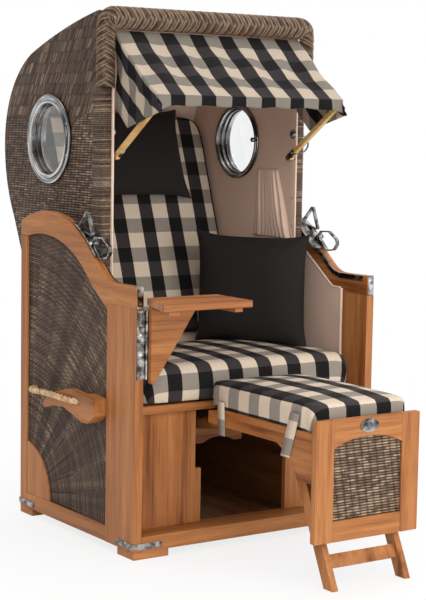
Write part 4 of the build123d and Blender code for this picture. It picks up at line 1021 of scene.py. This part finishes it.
def knife_pillow(name, width, height, edge, crown, draw, place, body, replaces, seed):
    """Pillow with pointed corners, a full middle and a seam round its edge."""
    steps, rim_steps = 44, 24
    batch = Batch()

    def across(u, v):
        ears = 0.010 * (u * v) ** 4
        return u * (width / 2 - draw * (1 - v ** 4) + ears), v * (height / 2 - draw * (1 - u ** 4) + ears)

    for sign in (1, -1):
        verts = []
        for row in range(steps + 1):
            v = math.sin(math.pi * (row / steps - 0.5))
            for column in range(steps + 1):
                u = math.sin(math.pi * (column / steps - 0.5))
                x, y = across(u, v)
                full = max(0.0, (1 - u ** 4) * (1 - v ** 4)) ** 0.55
                rim = max(abs(u), abs(v))
                fan = math.sin(34 * math.atan2(y, x) + 4 * wobble((x, y, sign), 7, seed))
                crease = 0.0022 * fan * max(0.0, rim - 0.55) * (1.0 - rim ** 8) * 2.2
                lump = 0.0045 * wobble((x, y, sign * 0.3), 9.0, seed) * full
                rise = (edge / 2 + crown) * full + 0.0008 + crease + lump
                verts.append(place @ Vector((x, y, sign * rise)))
        faces = grid_faces(steps + 1, steps + 1)
        if sign < 0:
            faces = [face[::-1] for face in faces]
        batch.add(verts, faces)
    marks = [-1 + 2 * k / rim_steps for k in range(rim_steps)]
    round_edge = [(t, -1) for t in marks] + [(1, t) for t in marks]
    round_edge += [(-t, 1) for t in marks] + [(-1, -t) for t in marks]
    rim_points = [place @ Vector((*across(u, v), 0)) for u, v in round_edge]
    batch.add(*tube(rim_points + rim_points[:1], 0.0022, 6, (0.3, 0.9, 0.1)))
    made = batch.piece(name, [DARK_CLOTH], body, "pillow_cloth", replaces)


LEANING = Matrix.Rotation(math.radians(90 - 19.3), 4, "X")
UPRIGHT = Matrix.Rotation(math.radians(-61), 4, "Z") @ Matrix.Rotation(math.radians(90), 4, "X")
BACK_HINGE = Matrix.Translation((0, 0.2804, 0.545))
PILLOW_SINK = Vector((0, 0, 0.007))


def middle_of(node):
    """Middle of a CAD node, counted from the centre of the base."""
    low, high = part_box(node)
    centre = (Vector(low) + Vector(high)) / 2
    return Vector((centre.x, centre.y - SET_BACK, centre.z))


box_cushion("seat_cushion_soft", 0.778, 0.494, 0.098, 0.016, Matrix.Translation((0, -0.075, 0.4954)),
            "base", ("seat_cushion",), 1.0, (0.035, 0.0439), 0.036)
box_cushion("backrest_cushion_soft", 0.664, 0.756, 0.038, 0.008,
            BACK_HINGE @ LEANING @ Matrix.Translation((0, 0.388, 0.0204)),
            "hood", ("backrest_cushion",), 2.0, (0.038, 0.088), 0.008, pucker=0.0006, piped=True)
knife_pillow("headrest_pillow_soft", 0.410, 0.296, 0.016, 0.022, 0.007,
             Matrix.Translation(middle_of("headrest_pillow")) @ LEANING, "hood", ("headrest_pillow",), 3.0)
knife_pillow("throw_pillow_soft", 0.385, 0.352, 0.030, 0.046, 0.008,
             Matrix.Translation(middle_of("throw_pillow") - PILLOW_SINK) @ UPRIGHT,
             "base", ("throw_pillow",), 4.0)

STRAP_INSIDE = 0.1763
STRAP_THICKNESS = 0.0012
STRAPS = ((-0.408, -0.004, 0.452, 0.352, 0.017), (-0.764, 0.042, 0.474, 0.346, 0.021))


def foot_cushion():
    """Footrest cushion with its two tie straps, given by place, lean, ends and half width."""
    made = box_cushion("footrest_cushion_soft", 0.350, 0.514, 0.070, 0.016,
                       Matrix.Translation((0, -0.586, 0.4644)), "footrest", ("footrest_cushion",), 5.0,
                       (0.0065, 0.05), 0.017, corner=10.0, count=160, swell=0.001)
    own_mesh(made)
    batch = Batch()
    rows = 18
    for y, lean, high, low, half in STRAPS:
        verts, cut = [], []
        section = ((-half, 0.0), (0.0, 0.0002), (half, 0.0), (half, STRAP_THICKNESS),
                   (-half, STRAP_THICKNESS))
        for k in range(rows + 1):
            z = between(high, low, k / rows)
            out = STRAP_INSIDE - 0.0010 * k / rows + 0.0002 * abs(math.sin(5 * k / rows + y * 9))
            for w, depth in section:
                verts.append((-out - depth, y + lean * k / rows + w, z))
                cut.append((w * 0.4 + 0.03, z))
        batch.add(verts, grid_faces(rows + 1, len(section), True), cut)
    straps = batch.piece("footrest_straps", [CHECKED], "footrest", "check_cloth")
    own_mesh(straps)


foot_cushion()


# Canopy: one sheet with its side gussets

CANOPY_HALF = 0.3385
CANOPY_TOP = (-0.058, 1.525)
CANOPY_HEM = (-0.2957, 1.3344)
CANOPY_LENGTH = 0.325
FOLD_PITCH = 0.118
GUSSET_FALL = -0.2106
GUSSET_STOPS = [(0.01, 1.06), (0.31, 1.36), (0.70, 1.24), (1.10, 1.12)]
# The canopy's check cloth at 0.72 of the cushions' brightness: a shaded copy of the same cloth, painted
# shade.
CANOPY_CHECK_SHADED = check_cloth("check_canopy_shaded", 0.1073, 0.106, 0.0275, 0.050, 0.72, 42.0)


def canopy_edge(share, x):
    """Place on the slack line from the braid to the rod."""
    slack = math.sin(math.pi * share) ** 0.9
    fold = 0.006 * math.sin(2 * math.pi * x / FOLD_PITCH + 1.2 * wobble((x, share, 0), 3, 1)) * slack
    fold += 0.010 * wobble((x, share * 0.6, 0.5), 5.5, 9.0) * slack
    sag = 0.010 * slack + fold
    return Vector((x, between(CANOPY_TOP[0], CANOPY_HEM[0], share) + sag * 0.66,
                   between(CANOPY_TOP[1], CANOPY_HEM[1], share) - sag * 0.75))


def gusset_low(share, side):
    """Lower outline of a gusset, from its rear corner to its front corner."""
    at = share * (len(GUSSET_STOPS) - 1)
    index = min(len(GUSSET_STOPS) - 2, int(at))
    first, second = GUSSET_STOPS[index], GUSSET_STOPS[index + 1]
    y, z = (between(first[part], second[part], at - index) for part in (0, 1))
    return Vector((side * (CANOPY_HALF - 0.001), between(CANOPY_TOP[0], CANOPY_HEM[0], y),
                   CANOPY_TOP[1] + z * GUSSET_FALL))


def gusset(side, share, extra):
    """Places and cloth places down one gusset, at a share of the canopy's length."""
    steps = 12
    row = []
    top, low = canopy_edge(share, side * CANOPY_HALF), gusset_low(share, side)
    for k in range(steps + 1):
        t = k / steps
        point = top.lerp(low, t)
        billow = 0.007 * math.sin(math.pi * t) * math.sin(9 * share + 5 * t + side)
        point.x -= side * abs(billow)
        point.y += 0.006 * extra
        point.z -= 0.004 * extra
        along = CANOPY_HALF + (low - top).length * t
        row.append((point, (side * along, share * CANOPY_LENGTH + 0.3 * extra * 0.02)))
    return row


def canopy_row(share, extra):
    """Places and cloth places across the top, turned down where the hem is."""
    steps = 72
    row = []
    for k in range(1, steps):
        x = CANOPY_HALF * (2 * k / steps - 1)
        point = canopy_edge(share, x)
        dip = 0.0022 * math.sin(2 * math.pi * x / FOLD_PITCH + 0.8)
        droop = max(0.0, (abs(x) - CANOPY_HALF + 0.085) / 0.085) ** 1.6
        point.z -= (0.029 + dip + 0.013 * droop) * extra
        point.y += (0.001 * math.sin(60 * x) - 0.014 * droop) * extra
        row.append((point, (x, share * CANOPY_LENGTH + 0.027 * extra)))
    return row


def thicken(piece, thickness, offset=-1.0):
    """Give a cloth its thickness."""
    thick = piece.modifiers.new("thickness", "SOLIDIFY")
    thick.thickness = thickness
    thick.offset = offset


def canopy():
    """Cloth from one gusset over the slack top to the other, with a turned-down hem."""
    rows, hem_rows = 30, 5
    verts, cut = [], []
    for row in range(rows + 1 + hem_rows):
        share = min(1.0, row / rows)
        extra = max(0, row - rows) / hem_rows
        line = gusset(-1, share, extra)[::-1] + canopy_row(share, extra) + gusset(1, share, extra)
        verts += [point for point, _ in line]
        cut += [place for _, place in line]
    batch = Batch()
    batch.add(verts, grid_faces(rows + 1 + hem_rows, len(line)), cut)
    made = batch.piece("canopy_cloth", [CANOPY_CHECK_SHADED], None, "check_cloth", ("awning_canopy",))
    thicken(made, 0.0014, 0)
    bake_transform(made)


canopy()

POCKET_LOW, POCKET_HIGH = 0.890, 1.112
POCKET_X = 0.3405


def pocket():
    """Gathered cloth pocket on the right lining."""
    rows, columns = 36, 90
    verts = []
    for row in range(rows + 1):
        share = row / rows
        bulge = 0.45 + 0.55 * math.sin(math.pi * min(1, share * 0.8 + 0.2))
        for column in range(columns + 1):
            t = column / columns
            y = 0.055 + 0.036 * share + (2 * t - 1) * (0.110 - 0.052 * share ** 0.8)
            inside = min(1.0, 9 * t, 9 * (1 - t)) * min(1.0, 14 * (1 - share) + 0.25)
            drift = 0.5 * wobble((t * 1.3, share * 0.4, 0), 2.4, 4)
            phase = math.pi * ((2 * t - 1) * 4.4 + drift + 0.25 * share)
            ridge = abs(math.sin(phase)) ** 1.4 * (0.62 + 0.38 * math.sin(5.1 * t + 1.0))
            depth = 0.0012 + inside * (0.0010 + 0.0190 * ridge * bulge)
            verts.append((POCKET_X - depth, y, between(POCKET_LOW, POCKET_HIGH, share)))
    batch = Batch()
    batch.add(verts, grid_faces(rows + 1, columns + 1))
    made = batch.piece("side_pocket_gathered", [LINING], "hood", "lining_cloth", ("side_pocket",))
    thicken(made, 0.0010)


pocket()


# Piping on the inner linings of the base

LINING_FRONT, LINING_TOP = -0.2325, 0.7435
LINING_CURVE, LINING_CURVE_Y, LINING_CURVE_Z = 0.339, 0.181, 0.591


def lining_piping():
    """Pale piping along the front, top and curve of each inner lining."""
    batch = Batch()
    line = [(LINING_FRONT, between(0.070, 0.738, k / 20)) for k in range(21)]
    line += [(-0.2300, LINING_TOP), (-0.1870, LINING_TOP)]
    for k in range(1, 20):
        y = between(-0.050, 0.300, k / 19)
        line.append((y, LINING_CURVE_Z + math.sqrt(LINING_CURVE ** 2 - (y - LINING_CURVE_Y) ** 2)))
    for side in SIDES:
        smooth, _ = evenly([Vector((side * 0.4010, y, z + 0.0015)) for y, z in line], 0.012)
        batch.add(*tube(smooth, 0.0036))
    batch.piece("lining_piping", [BEADING], "base", "lining_cloth")


lining_piping()


# Small fittings

def ring(batch, centre_x, side, radius, thick):
    """Rounded bead round a porthole."""
    steps, sides = 64, 8
    verts = []
    for turn in turns(steps):
        for a in turns(sides):
            r = radius + thick * math.cos(a)
            verts.append((side * (centre_x + thick * 0.8 * math.sin(a)),
                          PORTHOLE_Y + r * math.cos(turn), PORTHOLE_Z + r * math.sin(turn)))
    last = (steps - 1) * sides
    faces = [(last + j, last + (j + 1) % sides, (j + 1) % sides, j) for j in range(sides)]
    batch.add(verts, grid_faces(steps, sides, True) + faces)


def porthole_trim():
    """Beads, screws and catches of the portholes, inside and outside."""
    batch = Batch()
    for side in SIDES:
        for x, radius, thick in ((0.3850, 0.1165, 0.0068), (0.3835, 0.1350, 0.0045), (0.3330, 0.1150, 0.0062),
                                 (0.348, 0.1075, 0.0042), (0.366, 0.1075, 0.0042)):
            ring(batch, x, side, radius, thick)
        for turn in turns(8, 0.5):
            for x, facing, radius, size, height in ((0.3845, side, 0.1255, 0.0048, 0.0030),
                                                    (0.3335, -side, 0.1190, 0.0042, 0.0028)):
                spot = (side * x, PORTHOLE_Y + radius * math.cos(turn), PORTHOLE_Z + radius * math.sin(turn))
                batch.add(*stud(spot, (facing, 0, 0), size, height))
        catch = [Vector((side * x, PORTHOLE_Y - back, 1.206))
                 for x, back in ((0.330, 0.114), (0.322, 0.118), (0.314, 0.118))]
        batch.add(*tube(catch, 0.0075, 10, (0, 0, 1))[:2])
    batch.piece("porthole_trim", [RING_CHROME], "hood", "chrome")


porthole_trim()

BRACKET_X, BRACKET_Y, BRACKET_Z = 0.4380, 0.3545, 0.0385
ARM_TOP = 0.791


def base_screws():
    """Screws of the corner brackets, the straps and the table's hinge."""
    batch = Batch()
    for side in SIDES:
        for end in (-1, 1):
            for along in (0.030, 0.075):
                batch.add(*stud((side * BRACKET_X, end * (BRACKET_Y - along), BRACKET_Z), (side, 0, 0),
                                0.0050, 0.0032))
                batch.add(*stud((side * (BRACKET_X - along), end * BRACKET_Y, BRACKET_Z), (0, end, 0),
                                0.0050, 0.0032))
        for drop in (0.020, 0.048):
            batch.add(*stud((side * 0.4220, -0.3537, ARM_TOP - drop), FORWARD, 0.0040, 0.0009))
    for k in range(7):
        batch.add(*stud((-0.4200, -0.3546, 0.541 + 0.0283 * k), FORWARD, 0.0038, 0.0009), pick=1)
    batch.piece("base_screws", [STEEL, CHROME], "base", "steel")


base_screws()


def latch_knobs():
    """Pin heads of the latches, lining studs, awning knobs and the curved bow at the right."""
    batch = Batch()
    for side in SIDES:
        batch.add(*stud((side * 0.4335, -0.0889, 0.8983), (side, 0, 0), 0.0065, 0.0050))
        for z in (0.93, 1.02):
            batch.add(*stud((side * 0.3418, -0.0420, z), (-side, 0, 0), 0.0040, 0.0025))
        stem = [Vector((side * x, -0.045, 1.226)) for x in (0.343, 0.3395, 0.3385, 0.3365, 0.3350, 0.3340)]
        for centre, out, radius in zip(stem, stem[1:], (0.008, 0.0145, 0.0145, 0.0145, 0.0125)):
            batch.add(*tube([centre, out], radius, 16, (0, 0, 1))[:2])
    bow = [Vector((0.3745 + 0.036 * math.sin(a), -0.030, 1.196 - 0.030 * math.cos(a)))
           for a in (math.pi * k / 12 for k in range(13))]
    batch.add(*tube(bow, 0.0030, 8, (0, 1, 0))[:2], pick=1)
    batch.piece("latch_knobs", [CHROME, STEEL], "hood", "chrome")


latch_knobs()

AWNING_RISE = math.radians(34)


def awning_ends():
    """Dark metal sleeves where the awning sticks meet their pivots."""
    batch = Batch()
    way = Vector((0, -math.cos(AWNING_RISE), math.sin(AWNING_RISE)))
    for side in SIDES:
        points = [Vector((side * 0.321, -0.050, 1.155)) + way * d for d in (-0.010, 0.004, 0.018, 0.032)]
        batch.add(*bar(points, [Vector((side, 0, 0))] * 4, 0.0098, 0.0098, 12))
    batch.piece("awning_sleeves", [STEEL], "awning", "steel")


awning_ends()


# Light, floor and background

def area_light(name, place, target, size, power):
    """Square light that faces its target."""
    data = bpy.data.lights.new(name, "AREA")
    data.shape = "SQUARE"
    data.size = size
    data.energy = power
    made = new_object(name, data)
    made.location = place
    made.rotation_euler = (Vector(target) - Vector(place)).to_track_quat("-Z", "Y").to_euler()


def seen_directly(tree):
    """1 for rays from the camera, from gloss and through glass, and 0 for all others."""
    path = tree.nodes.new("ShaderNodeLightPath")
    total = path.outputs["Is Camera Ray"]
    for key in ("Is Glossy Ray", "Is Transmission Ray"):
        most = tree.nodes.new("ShaderNodeMath")
        most.operation = "MAXIMUM"
        tree.links.new(total, most.inputs[0])
        tree.links.new(path.outputs[key], most.inputs[1])
        total = most.outputs[0]
    return total


def background():
    """Soft light all round, behind which the camera sees white."""
    world = bpy.data.worlds.new("studio")
    bpy.context.scene.world = world
    world.use_nodes = True
    tree = world.node_tree
    tree.nodes.clear()
    soft, white, blend, out = (tree.nodes.new(kind) for kind in (
        "ShaderNodeBackground", "ShaderNodeBackground", "ShaderNodeMixShader", "ShaderNodeOutputWorld"))
    soft.inputs["Color"].default_value = (0.98, 0.97, 0.96, 1.0)
    soft.inputs["Strength"].default_value = 0.80
    white.inputs["Color"].default_value = (1.0, 1.0, 1.0, 1.0)
    white.inputs["Strength"].default_value = 1.0
    tree.links.new(seen_directly(tree), blend.inputs[0])
    tree.links.new(soft.outputs[0], blend.inputs[1])
    tree.links.new(white.outputs[0], blend.inputs[2])
    tree.links.new(blend.outputs[0], out.inputs[0])


FLOOR_REACH = 9.0
FADE_START, FADE_END = 0.7, 2.4
GLOW_NEAR, GLOW_FAR = 0.80, 1.0


def floor():
    """Pale ground that fades into the white background away from the chair."""
    mesh = bpy.data.meshes.new("floor")
    corners = ((-1, -1), (1, -1), (1, 1), (-1, 1))
    mesh.from_pydata([(x * FLOOR_REACH, y * FLOOR_REACH, 0) for x, y in corners], [], [(0, 1, 2, 3)])
    made = new_object("floor", mesh)
    made.location.z = -0.0005
    material = bpy.data.materials.new("floor")
    material.use_nodes = True
    tree = material.node_tree
    shader = tree.nodes["Principled BSDF"]
    shader.inputs["Base Color"].default_value = (0.86, 0.86, 0.86, 1.0)
    shader.inputs["Roughness"].default_value = 0.7
    glow, blend, scale, spot, reach, far = (tree.nodes.new(kind) for kind in (
        "ShaderNodeEmission", "ShaderNodeMixShader", "ShaderNodeMath", "ShaderNodeTexCoord",
        "ShaderNodeVectorMath", "ShaderNodeMapRange"))
    reach.operation = "LENGTH"
    tree.links.new(spot.outputs["Object"], reach.inputs[0])
    tree.links.new(reach.outputs["Value"], far.inputs[0])
    for socket, value in zip(far.inputs[1:], (FADE_START, FADE_END, GLOW_NEAR, GLOW_FAR)):
        socket.default_value = value
    scale.operation = "MULTIPLY"
    tree.links.new(far.outputs[0], scale.inputs[1])
    tree.links.new(seen_directly(tree), scale.inputs[0])
    tree.links.new(scale.outputs[0], blend.inputs[0])
    tree.links.new(shader.outputs[0], blend.inputs[1])
    tree.links.new(glow.outputs[0], blend.inputs[2])
    tree.links.new(blend.outputs[0], tree.nodes["Material Output"].inputs["Surface"])
    mesh.materials.append(material)


background()
floor()
area_light("key", (-2.2, -4.4, 3.2), (0, -0.1, 0.8), 2.6, 84)
area_light("front", (0.6, -5.0, 1.2), (0, -0.1, 0.9), 2.6, 95)
area_light("top", (0.4, 0.4, 4.2), (0, 0, 0.8), 3.0, 56)
area_light("side", (4.2, 0.6, 2.4), (0, 0, 0.8), 2.4, 60)
bpy.context.scene.view_settings.view_transform = "Standard"
